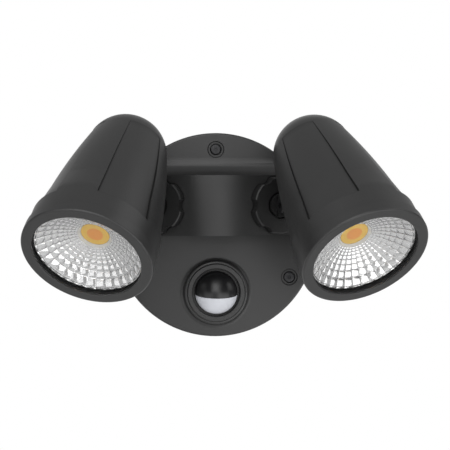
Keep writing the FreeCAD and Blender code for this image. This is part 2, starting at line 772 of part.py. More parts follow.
def make_bracket():
    """Mounting bracket: round sheet with wall screw slots, cable hole and threaded posts."""
    body = new_body("mounting_bracket")
    sheet = new_sketch(body, "XZ_Plane", "sheet")
    draw_circle(sheet, (0, 0), gasket_outer_radius() - d.gasket_width - d.bracket_gap)
    draw_circle(sheet, (0, 0), d.cable_hole_radius)
    raised(body, sheet, "sheet_pad", d.bracket_thickness)
    slots = new_sketch(body, "XZ_Plane", "slots")
    straight = d.slot_length / 2 - d.slot_half_width
    for side in (-1, 1):
        middle = side * d.slot_spacing / 2
        low, high = -d.slot_half_width, d.slot_half_width
        left, right = middle - straight, middle + straight
        draw_loop(slots, [
            (left, low, (left - d.slot_half_width, 0)), (right, low),
            (right, high, (right + d.slot_half_width, 0)), (left, high),
        ])
    sunk(body, slots, "slots_cut", 4 * d.bracket_thickness, symmetric=True)
    post = new_sketch(body, "XZ_Plane", "post", offset=d.bracket_thickness / 2)
    draw_circle(post, (0, screw_circle()), d.post_radius)
    pad = raised(body, post, "post_pad", d.post_height + d.bracket_thickness / 2)
    thread = new_sketch(body, "XZ_Plane", "thread")
    draw_circle(thread, (0, screw_circle()), d.screw_radius + d.running_fit)
    cut = sunk(body, thread, "thread_cut", BIG / 4, symmetric=True)
    around(body, [pad, cut], "post_places", "Y_Axis", d.screw_count)


def make_wall_gasket():
    """Foam gasket under the canopy's rim, flat against the wall."""
    outer = gasket_outer_radius()
    ring_piece("wall_gasket", facing(FreeCAD.Vector()), outer - d.gasket_width, outer,
               0, d.gasket_depth)


def make_cover_screws():
    """Button-head screws with hexagon sockets, one solid each, in one node."""
    body = new_body("cover_screws")
    seat = d.plate_depth - d.counterbore_depth - d.screw_recess
    top = seat + d.screw_head_height
    head = d.screw_head_radius
    edge = d.screw_edge
    curve = edge * (1 - math.sqrt(0.5))
    profile = new_sketch(body, "XY_Plane", "profile", offset=screw_circle())
    draw_loop(profile, [
        (0, -d.screw_tip_depth), (d.screw_radius, -d.screw_tip_depth), (d.screw_radius, -seat),
        (head, -seat), (head, edge - top), (head - edge, -top, (head - curve, curve - top)),
        (0, -top),
    ])
    screw = turned(body, "Revolution", profile, "turned")
    socket = new_sketch(body, "XZ_Plane", "socket", offset=top + OVERLAP)
    draw_loop(socket, hexagon(d.screw_socket_radius, (as_size(0), screw_circle())))
    cut = sunk(body, socket, "socket_cut", d.screw_socket_depth + OVERLAP)
    around(body, [screw, cut], "screw_places", "Y_Axis", d.screw_count)


def make_grommet():
    """Rubber grommet in the bracket's cable hole."""
    body = new_body("cable_grommet", facing(FreeCAD.Vector()))
    bore = d.grommet_bore_radius
    hole = d.cable_hole_radius
    lip = hole + d.grommet_lip
    rise = d.bracket_thickness + d.grommet_lip_height
    section = new_sketch(body, "XZ_Plane", "section")
    draw_loop(section, [
        (bore, 0), (hole, 0), (hole, d.bracket_thickness), (lip, d.bracket_thickness),
        (lip, rise), (bore, rise + d.grommet_lip),
    ])
    turned(body, "Revolution", section, "turned")


def make_driver():
    """Potted driver on two feet in the hollow of the wedge block."""
    body = new_body("led_driver")
    low = d.block_wall + d.driver_gap
    high = d.block_height - d.block_wall - d.driver_gap
    half = driver_width() / 2
    case = new_sketch(body, "XZ_Plane", "case", offset=d.bracket_thickness + d.driver_stand)
    draw_loop(case, [(-half, low), (half, low), (half, high), (-half, high)])
    block = raised(body, case, "case_pad", d.driver_depth)
    doc.recompute()
    front = -(d.bracket_thickness + d.driver_stand + d.driver_depth).value
    rounded = body.newObject("PartDesign::Fillet", "led_driver_rounding")
    rounded.Base = (block, edge_at(block.Shape, lambda middle, edge: middle.y < front + 0.01))
    bind(rounded, Radius=d.driver_rounding)
    body.Tip = rounded
    feet = new_sketch(body, "XZ_Plane", "feet", offset=d.bracket_thickness)
    for side in (-1, 1):
        inner = side * (half - d.driver_foot_width)
        outer = side * half
        draw_loop(feet, [(inner, low), (outer, low), (outer, high), (inner, high)])
    raised(body, feet, "feet_pad", d.driver_stand)


def make_terminals():
    """Terminal block on the bracket, with a screw well for each way."""
    body = new_body("terminal_block")
    low = -d.terminal_drop
    near = d.terminal_across
    outline = new_sketch(body, "XZ_Plane", "outline", offset=d.bracket_thickness)
    draw_loop(outline, [
        (near, low), (near + d.terminal_width, low),
        (near + d.terminal_width, low + d.terminal_height), (near, low + d.terminal_height),
    ])
    raised(body, outline, "outline_pad", d.terminal_depth)
    wells = new_sketch(body, "XZ_Plane", "wells", offset=d.bracket_thickness + d.terminal_depth)
    ways = round(d.terminal_ways.value)
    for way in range(ways):
        across = near + d.terminal_width * ((way + 0.5) / ways)
        draw_circle(wells, (across, low + d.terminal_height / 2), d.terminal_hole_radius)
    sunk(body, wells, "wells_cut", d.terminal_well_depth)


def make_control_board():
    """Sensor control board on stand-offs, and its relay."""
    body = new_body("control_board")
    low = -d.terminal_drop
    far = -d.terminal_across - d.control_width
    face = d.bracket_thickness + d.control_stand
    outline = new_sketch(body, "XZ_Plane", "outline", offset=face)
    draw_loop(outline, [
        (far, low), (far + d.control_width, low),
        (far + d.control_width, low + d.control_height), (far, low + d.control_height),
    ])
    raised(body, outline, "outline_pad", d.board_thickness)
    stand = new_sketch(body, "XZ_Plane", "stand_offs", offset=d.bracket_thickness)
    inset = d.stand_off_inset
    for across in (far + inset, far + d.control_width - inset):
        for rise in (low + inset, low + d.control_height - inset):
            draw_circle(stand, (across, rise), d.stand_off_radius)
    raised(body, stand, "stand_pad", d.control_stand + d.board_thickness / 2)
    relay = new_body("relay")
    outline = new_sketch(relay, "XZ_Plane", "outline", offset=face + d.board_thickness)
    left = far + d.relay_across
    base = low + d.relay_rise
    draw_loop(outline, [
        (left, base), (left + d.relay_width, base),
        (left + d.relay_width, base + d.relay_height), (left, base + d.relay_height),
    ])
    raised(relay, outline, "outline_pad", d.relay_depth)


# Motion sensor


def seat_radius_at(depth):
    """Radius of the spherical seat at a depth from the wall."""
    sphere = d.ball_radius + d.ball_clearance
    reach = sensor_depth() - depth
    return root(sphere * sphere - reach * reach)


def make_sensor_collar():
    """Collar round the sensor ball: flat face, gap, spherical seat and tube."""
    body = new_body("sensor_collar", sensor_frame())
    face = d.plate_depth + d.collar_height
    step = face - d.collar_step_depth
    back = d.plate_depth - d.collar_tube_depth
    seat_end = back + d.collar_seat_end
    opening = collar_opening_radius()
    rim = collar_radius()
    edge = d.collar_edge
    section = new_sketch(body, "XZ_Plane", "section")
    draw_loop(section, [
        (seat_radius_at(seat_end), back), (collar_tube_radius(), back),
        (collar_tube_radius(), d.plate_depth), (rim, d.plate_depth), (rim, face - edge),
        (rim - edge, face), (opening + edge, face), (opening, face - edge), (opening, step),
        (seat_radius_at(step), step),
        (seat_radius_at(seat_end), seat_end,
         (seat_radius_at((step + seat_end) / 2), (step + seat_end) / 2)),
    ])
    turned(body, "Revolution", section, "turned")


def make_sensor_seal():
    """Rubber ring between the collar's tube and the back of the canopy face."""
    torus = doc.addObject("Part::Torus", "sensor_seal")
    torus.Label = "sensor_seal"
    bind(torus, Radius1=collar_tube_radius() + d.seal_radius, Radius2=d.seal_radius)
    frame = sensor_frame()
    back = (d.plate_depth - d.plate_wall - d.seal_radius).value
    place = FreeCAD.Placement(FreeCAD.Vector(0, 0, back), FreeCAD.Rotation())
    torus.Placement = frame.multiply(place)
    SUBPARTS.append(torus)


def shell_of_ball(outer, name):
    """Hollow sphere about the ball's centre."""
    ball = doc.addObject("Part::Sphere", f"{name}_outside")
    core = doc.addObject("Part::Sphere", f"{name}_inside")
    bind(ball, Radius=outer)
    bind(core, Radius=d.ball_radius - d.ball_wall)
    shell = doc.addObject("Part::Cut", f"{name}_shell")
    shell.Base = ball
    shell.Tool = core
    return shell


def lens_box(name, gap):
    """Box over the lower front quarter of the ball, drawn in by a gap."""
    box = doc.addObject("Part::Box", f"{name}_quarter")
    bind(box, Length=BIG, Width=BIG, Height=BIG)
    box.setExpression("Placement.Base.x", as_size(-BIG / 2).text)
    box.setExpression("Placement.Base.y", (-d.lens_top_drop - gap - BIG).text)
    box.setExpression("Placement.Base.z", (gap - d.lens_back).text)
    return box


def make_sensor_ball():
    """Black ball with an open lower front quarter, closed by the white lens."""
    shell = shell_of_ball(d.ball_radius, "ball")
    opened = doc.addObject("Part::Cut", "ball_opened")
    opened.Base = shell
    opened.Tool = lens_box("window", as_size(0))
    back = doc.addObject("Part::Box", "ball_back")
    bind(back, Length=BIG, Width=BIG, Height=BIG)
    back.setExpression("Placement.Base.x", as_size(-BIG / 2).text)
    back.setExpression("Placement.Base.y", as_size(-BIG / 2).text)
    back.setExpression("Placement.Base.z", (-d.ball_back_cut - BIG).text)
    ball = doc.addObject("Part::Cut", "sensor_ball")
    ball.Label = "sensor_ball"
    ball.Base = opened
    ball.Tool = back
    ball.Placement = ball_frame()
    lens = doc.addObject("Part::Common", "sensor_lens")
    lens.Label = "sensor_lens"
    lens.Base = shell_of_ball(d.ball_radius - d.lens_gap / 2, "lens")
    lens.Tool = lens_box("lens", d.lens_gap)
    lens.Placement = ball_frame()
    SUBPARTS.extend([ball, lens])


def make_sensor_board():
    """Round board in the ball with the infrared detector on it."""
    frame = ball_frame()
    back = -d.sensor_board_back
    inside = d.ball_radius - d.ball_wall
    radius = root(inside * inside - back * back)
    disc_piece("sensor_board", frame, radius, back, back + d.board_thickness)
    foot = back + d.board_thickness
    can = new_body("infrared_detector", frame)
    profile = new_sketch(can, "XZ_Plane", "profile")
    rim = d.pyro_radius
    flange = d.pyro_flange
    wall = rim - flange
    top = foot + d.pyro_height
    draw_loop(profile, [
        (0, foot), (rim, foot), (rim, foot + flange), (wall, foot + flange),
        (wall, top - d.pyro_edge), (wall - d.pyro_edge, top), (0, top),
    ])
    turned(can, "Revolution", profile, "turned")


# Swivel joints


def make_lock_ring(name, side):
    """Lobed ring nut that clamps the arm's flange on the spigot."""
    body = new_body(f"{name}_lock_ring", seat_frame(side))
    low = d.ring_seat_gap
    top = ring_height()
    outer = ring_radius()
    lip = top - d.ring_lip
    bore = d.spigot_radius + d.ring_bore_gap
    hole = d.journal_radius + d.ring_neck_gap
    section = new_sketch(body, "XZ_Plane", "section")
    draw_loop(section, [
        (bore, low), (outer, low), (outer, top - d.ring_edge),
        (outer - d.ring_edge, top), (hole, top), (hole, lip), (bore, lip),
    ])
    turned(body, "Revolution", section, "turned")
    notch = new_sketch(body, "XY_Plane", "notch")
    reach = outer + d.lobe_notch_radius - d.lobe_notch_depth
    draw_circle(notch, (-reach, 0), d.lobe_notch_radius)
    cut = sunk(body, notch, "notch_cut", 4 * top, symmetric=True)
    around(body, [cut], "lobes", "Z_Axis", d.ring_lobes)


def make_swivel_washer(name, side):
    low = d.spigot_height
    ring_piece(f"{name}_swivel_washer", seat_frame(side), d.journal_radius + d.washer_gap,
               d.flange_radius, low, low + d.washer_thickness)


def make_arm(name, side):
    """Swivel arm: journal in the canopy, flange, neck and flat tongue with a round end."""
    body = new_body(f"{name}_swivel_arm", seat_frame(side))
    low = flange_low()
    high = low + d.flange_thickness
    neck_top = pivot_reach() - d.knuckle_radius - d.neck_gap
    section = new_sketch(body, "XZ_Plane", "section")
    draw_loop(section, [
        (0, -d.journal_depth), (d.journal_radius, -d.journal_depth),
        (d.journal_radius, low), (d.flange_radius, low),
        (d.flange_radius, high), (d.journal_radius, high),
        (d.journal_radius, neck_top), (0, neck_top),
    ])
    turned(body, "Revolution", section, "turned")
    tongue = new_sketch(body, "YZ_Plane", "tongue")
    wide = d.knuckle_radius
    reach = pivot_reach()
    foot = tongue_low()
    draw_loop(tongue, [
        (-wide, foot), (wide, foot), (wide, reach), (-wide, reach, (0, reach + wide)),
    ])
    raised(body, tongue, "tongue_pad", 2 * d.tongue_half, symmetric=True)
    hole = new_sketch(body, "YZ_Plane", "bolt_hole")
    draw_circle(hole, (0, reach), d.bolt_radius + d.running_fit)
    sunk(body, hole, "bolt_hole_cut", BIG / 2, symmetric=True)


def make_clip(name, side):
    """Retaining ring on the journal, inside the block."""
    top = -d.block_wall - d.flange_gap
    ring_piece(f"{name}_retaining_ring", seat_frame(side), d.journal_radius,
               d.journal_radius + d.clip_width, top - d.clip_height, top)


def make_bolt(name, side):
    """Knuckle bolt with a socket head on the inner side and a nut on the outer side."""
    frame = bolt_frame(side)
    inner_face = -d.tongue_half
    lug_low = d.tongue_half + d.knuckle_washer_thickness + d.lug_gap
    nut_low = lug_low + d.lug_thickness + d.lug_gap
    nut_top = nut_low + d.nut_height
    ring_piece(f"{name}_knuckle_washer", frame, d.bolt_radius,
               d.knuckle_radius - d.knuckle_edge, d.tongue_half,
               d.tongue_half + d.knuckle_washer_thickness)
    bolt = new_body(f"{name}_knuckle_bolt", frame)
    head = inner_face - d.bolt_head_height
    profile = new_sketch(bolt, "XZ_Plane", "profile")
    draw_loop(profile, [
        (0, head), (d.bolt_head_radius - d.knuckle_edge, head),
        (d.bolt_head_radius, head + d.knuckle_edge), (d.bolt_head_radius, inner_face),
        (d.bolt_radius, inner_face), (d.bolt_radius, nut_top), (0, nut_top),
    ])
    turned(bolt, "Revolution", profile, "turned")
    socket = new_sketch(bolt, "XY_Plane", "socket", offset=head - OVERLAP)
    draw_loop(socket, hexagon(d.bolt_socket_radius))
    sunk(bolt, socket, "socket_cut", d.bolt_socket_depth + OVERLAP, backward=True)
    nut = new_body(f"{name}_knuckle_nut", frame)
    outline = new_sketch(nut, "XY_Plane", "outline", offset=nut_low)
    draw_loop(outline, hexagon(d.nut_corner_radius))
    draw_circle(outline, (0, 0), d.bolt_radius)
    raised(nut, outline, "outline_pad", d.nut_height)


# Lamp heads


def dome_point(radius, setback, apex):
    """A point half way round a spherical end that starts at radius, setback and ends at apex."""
    centre = (apex * apex - radius * radius - setback * setback) / (2 * (apex - setback))
    ball = apex - centre
    return (ball * sine(as_size(40)), centre + ball * cosine(as_size(40)))


def make_housing(name, side):
    """Bullet housing: front band, tapered body with four recessed panels, tail and lug."""
    body = new_body(f"{name}_head_housing", head_frame(side))
    spigot = front_spigot_radius()
    band = band_radius()
    spigot_front = d.rim_lip + d.lens_gasket_thickness + d.rim_seam
    band_front = d.rim_depth + d.rim_seam
    outside = new_sketch(body, "XZ_Plane", "outside")
    draw_loop(outside, [
        (0, spigot_front), (spigot, spigot_front), (spigot, band_front),
        (band, band_front), (band, d.band_end), (d.shoulder_radius, d.shoulder_setback),
        (d.tail_radius, tail_setback(), (d.waist_radius, d.waist_setback)),
        (0, d.head_length, dome_point(d.tail_radius, tail_setback(), d.head_length)),
    ])
    turned(body, "Revolution", outside, "turned")

    lug = new_sketch(body, "YZ_Plane", "lug")
    drop = -d.pivot_drop
    wide = d.knuckle_radius
    lug_root = d.tail_wall - d.tail_radius
    draw_loop(lug, [
        (drop, d.pivot_setback - wide, (drop - wide, d.pivot_setback)),
        (lug_root, d.pivot_setback - wide - d.lug_flare_front),
        (lug_root, d.pivot_setback + wide + d.lug_flare_back), (drop, d.pivot_setback + wide),
    ])
    raised(body, lug, "lug_pad", d.lug_thickness, symmetric=True)
    hole = new_sketch(body, "YZ_Plane", "bolt_hole")
    draw_circle(hole, (drop, d.pivot_setback), d.bolt_radius + d.running_fit)
    sunk(body, hole, "bolt_hole_cut", BIG / 2, symmetric=True)

    make_chamber(body, spigot_front)

    panel = new_sketch(body, "XZ_Plane", "panel")
    turn = FreeCAD.Rotation(FreeCAD.Vector(0, 1, 0), 180 / d.facet_count.value)
    panel.AttachmentOffset = FreeCAD.Placement(FreeCAD.Vector(), turn)
    start = d.band_end - d.facet_lead
    end = tail_setback() + d.facet_run_out
    outside = d.rim_radius + OVERLAP
    draw_loop(panel, [
        (band - d.facet_depth, start), (d.shoulder_radius - d.facet_depth, d.shoulder_setback),
        (d.tail_radius - d.facet_tail_depth, tail_setback(),
         (d.waist_radius - d.facet_waist_depth, d.waist_setback)),
        (d.tail_radius + d.facet_rise, end), (outside, end), (outside, start),
    ])
    first = turned(body, "Groove", panel, "panel_cut", angle=d.facet_width_deg, symmetric=True)
    around(body, [first], "panels", "Z_Axis", d.facet_count)


def make_chamber(body, front):
    """Stepped hollow of a housing: glass pocket, ledge, heat spreader's pocket and chamber."""
    pocket = glass_pocket_radius()
    ledge = ledge_radius()
    ledge_front = glass_front() + d.glass_thickness + d.seat_ring_thickness
    plate = heat_plate_radius() + d.heat_plate_gap
    straight = d.shoulder_radius - d.chamber_wall
    taper = d.shoulder_setback + d.chamber_straight
    tail = d.tail_radius - d.tail_wall
    depth = d.head_length - d.end_wall
    chamber = new_sketch(body, "XZ_Plane", "chamber")
    draw_loop(chamber, [
        (0, front - OVERLAP), (pocket, front - OVERLAP), (pocket, ledge_front),
        (ledge, ledge_front), (ledge, clamp_back()), (plate, clamp_back()),
        (plate, heat_plate_back()), (straight, heat_plate_back()), (straight, taper),
        (tail, tail_setback()), (0, depth, dome_point(tail, tail_setback(), depth)),
    ])
    turned(body, "Groove", chamber, "chamber_cut")


def make_front_ring(name, frame):
    """Front ring with a lip that holds the gasket and the glass."""
    body = new_body(f"{name}_front_ring", frame)
    window = window_radius()
    curve = d.rim_edge * (1 - math.sqrt(0.5))
    section = new_sketch(body, "XZ_Plane", "section")
    draw_loop(section, [
        (window + d.window_bevel, 0), (d.rim_radius - d.rim_edge, 0),
        (d.rim_radius, d.rim_edge, (d.rim_radius - curve, curve)),
        (d.rim_radius, d.rim_depth), (socket_radius(), d.rim_depth),
        (socket_radius(), d.rim_lip), (window, d.rim_lip), (window, d.window_bevel),
    ])
    turned(body, "Revolution", section, "turned")


def make_glass_stack(name, frame):
    """Front gasket, glass and the seal behind it."""
    glass = glass_front()
    back = glass + d.glass_thickness
    ring_piece(f"{name}_front_gasket", frame, window_radius() - d.lens_gasket_show,
               front_spigot_radius(), d.rim_lip, glass)
    disc_piece(f"{name}_glass", frame, glass_radius(), glass, back)
    ring_piece(f"{name}_glass_seal", frame, ledge_radius(), glass_radius(), back,
               back + d.seat_ring_thickness)


def reflector_depth_at(radius):
    """Setback of the parabolic bowl at a radius, from its front edge to its throat."""
    edge = reflector_mouth_radius().value
    throat = d.reflector_throat.value
    share = (edge ** 2 - radius ** 2) / (edge ** 2 - throat ** 2)
    return reflector_front().value + d.reflector_depth.value * share


def make_reflector(name, frame):
    """Reflector bowl: an outer shell cut by a core whose sides are flat facets in rows."""
    edge = reflector_mouth_radius().value
    throat = d.reflector_throat.value
    wall = d.reflector_wall.value
    rows = round(d.reflector_rows.value)
    columns = round(d.reflector_columns.value)
    facet_edge = edge - d.reflector_plain.value
    growth = (facet_edge / throat) ** (1 / rows)
    radii = [throat * growth ** row for row in range(rows + 1)] + [edge]
    rings = []
    for radius in radii:
        depth = reflector_depth_at(radius)
        ring = []
        for column in range(columns + 1):
            angle = 2 * math.pi * column / columns
            ring.append(FreeCAD.Vector(radius * math.cos(angle), radius * math.sin(angle), depth))
        ring[-1] = ring[0]
        rings.append(ring)
    faces = [Part.Face(Part.makePolygon(rings[0])), Part.Face(Part.makePolygon(rings[-1]))]
    for low, high in zip(rings, rings[1:]):
        for column in range(columns):
            corners = [low[column], low[column + 1], high[column + 1], high[column], low[column]]
            faces.append(Part.Face(Part.makePolygon(corners)))
    core = Part.makeSolid(Part.makeShell(faces))
    if core.Volume < 0:
        core.reverse()
    front = reflector_front().value
    back = throat_setback().value
    flange = reflector_flange_radius().value
    bowl_points = [FreeCAD.Vector(edge + wall / 4, 0, front + wall)]
    for radius in reversed(radii[:-1]):
        bowl_points.append(FreeCAD.Vector(radius + wall, 0, reflector_depth_at(radius)))
    outline = Part.makePolygon(
        [FreeCAD.Vector(0, 0, front), FreeCAD.Vector(flange, 0, front),
         FreeCAD.Vector(flange, 0, front + wall)] + bowl_points
        + [FreeCAD.Vector(0, 0, back), FreeCAD.Vector(0, 0, front)])
    shell = Part.Face(outline).revolve(FreeCAD.Vector(), FreeCAD.Vector(0, 0, 1), 360)
    feature = doc.addObject("Part::Feature", f"{name}_reflector")
    feature.Label = f"{name}_reflector"
    feature.Shape = shell.cut(core)
    feature.Placement = frame
    SUBPARTS.append(feature)


def make_light_source(name, frame):
    """Phosphor disc on its board, the clamping ring and the heat spreader."""
    board = chip_board_front()
    base = clamp_back()
    disc_piece(f"{name}_phosphor", frame, d.phosphor_radius, board - d.phosphor_height, board)
    disc_piece(f"{name}_chip_board", frame, d.chip_board_radius, board, base)
    clamp = new_body(f"{name}_clamp_ring", frame)
    front = throat_setback()
    inner = d.phosphor_radius + d.clamp_margin
    wall = d.chip_board_radius + d.clamp_gap
    lip = front + d.clamp_step
    section = new_sketch(clamp, "XZ_Plane", "section")
    draw_loop(section, [
        (d.reflector_throat + d.clamp_flare, front), (d.clamp_hub_radius, front),
        (d.clamp_hub_radius, lip), (d.clamp_outer_radius, lip), (d.clamp_outer_radius, base),
        (wall, base), (wall, board), (inner, board), (inner, front + d.clamp_cone),
    ])
    turned(clamp, "Revolution", section, "turned")
    holes = new_sketch(clamp, "XY_Plane", "holes", offset=base)
    draw_circle(holes, (d.clamp_screw_circle, 0), d.clamp_screw_radius + d.running_fit)
    cut = sunk(clamp, holes, "holes_cut", BIG / 4, symmetric=True)
    around(clamp, [cut], "screw_places", "Z_Axis", 2)
    plate = new_body(f"{name}_heat_spreader", frame)
    disc = new_sketch(plate, "XY_Plane", "disc", offset=base)
    draw_circle(disc, (0, 0), heat_plate_radius())
    raised(plate, disc, "disc_pad", d.heat_plate_thickness)
    holes = new_sketch(plate, "XY_Plane", "holes", offset=base)
    draw_circle(holes, (d.clamp_screw_circle, 0), d.clamp_screw_radius + d.running_fit)
    cut = sunk(plate, holes, "holes_cut", BIG / 4, symmetric=True)
    around(plate, [cut], "screw_places", "Z_Axis", 2)
    make_clamp_screws(name, frame, lip)


def make_clamp_screws(name, frame, lip):
    """Two screws that hold the clamping ring on the heat spreader, in one node."""
    body = new_body(f"{name}_clamp_screws", frame)
    tip = clamp_back() + d.heat_plate_thickness / 2
    head = lip - d.clamp_screw_height
    profile = new_sketch(body, "XZ_Plane", "profile")
    profile.setExpression("AttachmentOffset.Base.x", d.clamp_screw_circle.text)
    draw_loop(profile, [
        (0, head), (d.clamp_screw_head, head), (d.clamp_screw_head, lip),
        (d.clamp_screw_radius, lip), (d.clamp_screw_radius, tip), (0, tip),
    ])
    screw = turned(body, "Revolution", profile, "turned")
    around(body, [screw], "screw_places", "Z_Axis", 2)


def make_lamp_head(name, side):
    frame = head_frame(side)
    make_housing(name, side)
    make_front_ring(name, frame)
    make_glass_stack(name, frame)
    make_reflector(name, frame)
    make_light_source(name, frame)


def check_and_export():
    """Refuse failed objects and bad shapes, then write one STEP file for each sub-part."""
    for item in doc.Objects:
        if "Invalid" in item.State or "Error" in item.State:
            raise RuntimeError(f"{item.Label} failed: {item.State}")
    for part in SUBPARTS:
        shape = part.Shape
        if shape.isNull() or not shape.isValid() or not shape.Solids:
            raise RuntimeError(f"{part.Label} has no valid solid")
    os.makedirs("parts", exist_ok=True)
    for part in SUBPARTS:
        part.Shape.exportStep(f"parts/{part.Label}.step")
        box = part.Shape.BoundBox
        print(f"{part.Label:24s} solids {len(part.Shape.Solids)} volume {part.Shape.Volume:10.1f}"
              f"  x {box.XMin:7.1f} {box.XMax:7.1f}  y {box.YMin:7.1f} {box.YMax:7.1f}"
              f"  z {box.ZMin:7.1f} {box.ZMax:7.1f}")


def main():
    make_canopy()
    make_bracket()
    make_wall_gasket()
    make_cover_screws()
    make_grommet()
    make_driver()
    make_terminals()
    make_control_board()
    make_sensor_collar()
    make_sensor_seal()
    make_sensor_ball()
    make_sensor_board()
    for name, side in SIDES.items():
        make_lock_ring(name, side)
        make_swivel_washer(name, side)
        make_arm(name, side)
        make_clip(name, side)
        make_bolt(name, side)
        make_lamp_head(name, side)
    doc.recompute()
    check_and_export()


main()
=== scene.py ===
"""Looks, stage and camera for a twin-head motion sensor security light.

The light hangs on a wall that lies in the plane y = 0 and shines towards -Y. Lengths in the
classes are millimetres, and the meshes are in metres.
"""

from __future__ import annotations

import json
import logging
import math
from dataclasses import dataclass, field
from enum import Enum
from typing import Any

import bpy
from mathutils import Matrix, Vector

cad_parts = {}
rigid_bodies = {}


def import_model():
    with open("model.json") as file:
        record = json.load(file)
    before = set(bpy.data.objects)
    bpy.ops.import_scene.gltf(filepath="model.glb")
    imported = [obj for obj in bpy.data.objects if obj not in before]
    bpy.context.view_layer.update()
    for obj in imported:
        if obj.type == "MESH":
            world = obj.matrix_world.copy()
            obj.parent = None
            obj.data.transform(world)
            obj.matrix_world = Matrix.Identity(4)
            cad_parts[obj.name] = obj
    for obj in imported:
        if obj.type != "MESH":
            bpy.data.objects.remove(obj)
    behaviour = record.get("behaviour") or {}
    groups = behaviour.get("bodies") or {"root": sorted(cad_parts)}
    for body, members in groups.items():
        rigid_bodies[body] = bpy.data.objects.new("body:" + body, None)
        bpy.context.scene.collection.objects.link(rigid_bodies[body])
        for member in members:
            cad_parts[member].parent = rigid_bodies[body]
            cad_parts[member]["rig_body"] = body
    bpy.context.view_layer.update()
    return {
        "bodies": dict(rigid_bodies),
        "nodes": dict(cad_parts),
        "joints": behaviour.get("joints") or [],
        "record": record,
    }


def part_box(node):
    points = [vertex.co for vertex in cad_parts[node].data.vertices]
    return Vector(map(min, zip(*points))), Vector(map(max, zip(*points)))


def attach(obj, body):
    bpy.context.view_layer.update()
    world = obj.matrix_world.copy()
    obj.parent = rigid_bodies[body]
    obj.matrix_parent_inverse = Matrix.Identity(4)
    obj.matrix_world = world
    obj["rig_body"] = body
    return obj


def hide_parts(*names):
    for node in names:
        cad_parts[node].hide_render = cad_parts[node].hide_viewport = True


LOG = logging.getLogger("security_light")
MM = 0.001
MERGE_DISTANCE = 0.000002
# Samples of the ambient occlusion that paints shade into grooves.
GROOVE_SHADE_SAMPLES = 12

# The sRGB curve: a straight start up to its limit, then a power curve.
BYTE = 255
SRGB_LIMIT, SRGB_SLOPE = 0.04045, 12.92
SRGB_OFFSET, SRGB_POWER = 0.055, 2.4

# A full share, and the strength and colour of the white that the camera sees.
FULL = 1.0
WHITE = (1.0, 1.0, 1.0, 1.0)

# Sockets of a colour Mix node, and of a Mix Shader node, where names repeat.
MIX_FACTOR, MIX_A, MIX_B, MIX_RESULT = 0, 6, 7, 2
SHADER_FACTOR, SHADER_A, SHADER_B = 0, 1, 2

Socket = bpy.types.NodeSocket
Tree = bpy.types.NodeTree


# Small tools


def linear(hex_colour: str) -> tuple[float, float, float, float]:
    """Turn an sRGB hex colour into linear RGBA.

    Args:
        hex_colour: Colour such as "#2b2c2e".

    Returns:
        Linear red, green, blue and an alpha of 1.
    """
    channels = []
    for value in (code / BYTE for code in bytes.fromhex(hex_colour.lstrip("#"))):
        curved = ((value + SRGB_OFFSET) / (1.0 + SRGB_OFFSET)) ** SRGB_POWER
        channels.append(value / SRGB_SLOPE if value <= SRGB_LIMIT else curved)
    return (*channels, 1.0)


def add_node(
    tree: Tree,
    kind: str,
    settings: dict[str, Any] | None = None,
    values: dict[Any, Any] | None = None,
    links: dict[Any, Socket] | None = None,
) -> bpy.types.Node:
    """Add a shader node with its settings, socket values and incoming links.

    Args:
        tree: The node tree that receives the node.
        kind: The node's type name after "ShaderNode".
        settings: Attributes of the node.
        values: Input sockets' own values, by name or number.
        links: Output sockets to join to inputs, by the input's name or number.

    Returns:
        The new node.
    """
    node = tree.nodes.new(f"ShaderNode{kind}")
    for name, value in (settings or {}).items():
        setattr(node, name, value)
    for key, value in (values or {}).items():
        node.inputs[key].default_value = value
    for key, source in (links or {}).items():
        tree.links.new(source, node.inputs[key])
    return node


def calculate(tree: Tree, operation: str, first: Socket, second: Socket) -> Socket:
    """Work out one value from two in a node tree.

    Args:
        tree: The node tree.
        operation: MULTIPLY or MAXIMUM.
        first: The first value.
        second: The second value.

    Returns:
        The result.
    """
    node = add_node(
        tree, "Math", settings={"operation": operation}, links={0: first, 1: second}
    )
    return node.outputs["Value"]


def ramp(tree: Tree, value: Socket, span: tuple[float, float], low: float = 0.0) -> Socket:
    """Turn a value into a share that rises smoothly to 1.

    Args:
        tree: The node tree.
        value: The value.
        span: The value where the share starts to rise, and the one where it is full.
        low: The share before it rises.

    Returns:
        The share.
    """
    node = add_node(
        tree, "MapRange", settings={"interpolation_type": "SMOOTHSTEP"},
        values={"From Min": span[0], "From Max": span[1], "To Min": low},
        links={"Value": value},
    )
    return node.outputs["Result"]


def empty_tree(owner: bpy.types.Material | bpy.types.World) -> Tree:
    """Turn on an owner's nodes and empty its node tree.

    Args:
        owner: A new material or world.

    Returns:
        Its node tree.
    """
    owner.use_nodes = True
    owner.node_tree.nodes.clear()
    return owner.node_tree


def select_only(item: bpy.types.Object) -> None:
    """Deselect everything and make one object active and selected.

    Args:
        item: The object.
    """
    bpy.ops.object.select_all(action="DESELECT")
    item.select_set(True)
    bpy.context.view_layer.objects.active = item


def open_mesh(item: bpy.types.Object, kind: str, action: str = "SELECT") -> None:
    """Open an object's mesh for editing, with all or nothing of it selected.

    Args:
        item: The object.
        kind: What is picked from now on: VERT, EDGE or FACE.
        action: SELECT or DESELECT.
    """
    select_only(item)
    bpy.ops.object.mode_set(mode="EDIT")
    bpy.ops.mesh.select_mode(type=kind)
    bpy.ops.mesh.select_all(action=action)


def close_mesh() -> None:
    """Leave edit mode."""
    bpy.ops.object.mode_set(mode="OBJECT")


def apply_modifiers(item: bpy.types.Object) -> None:
    """Apply every modifier of an object in order.

    Args:
        item: The object.
    """
    select_only(item)
    for name in [modifier.name for modifier in item.modifiers]:
        bpy.ops.object.modifier_apply(modifier=name)


# Finishes


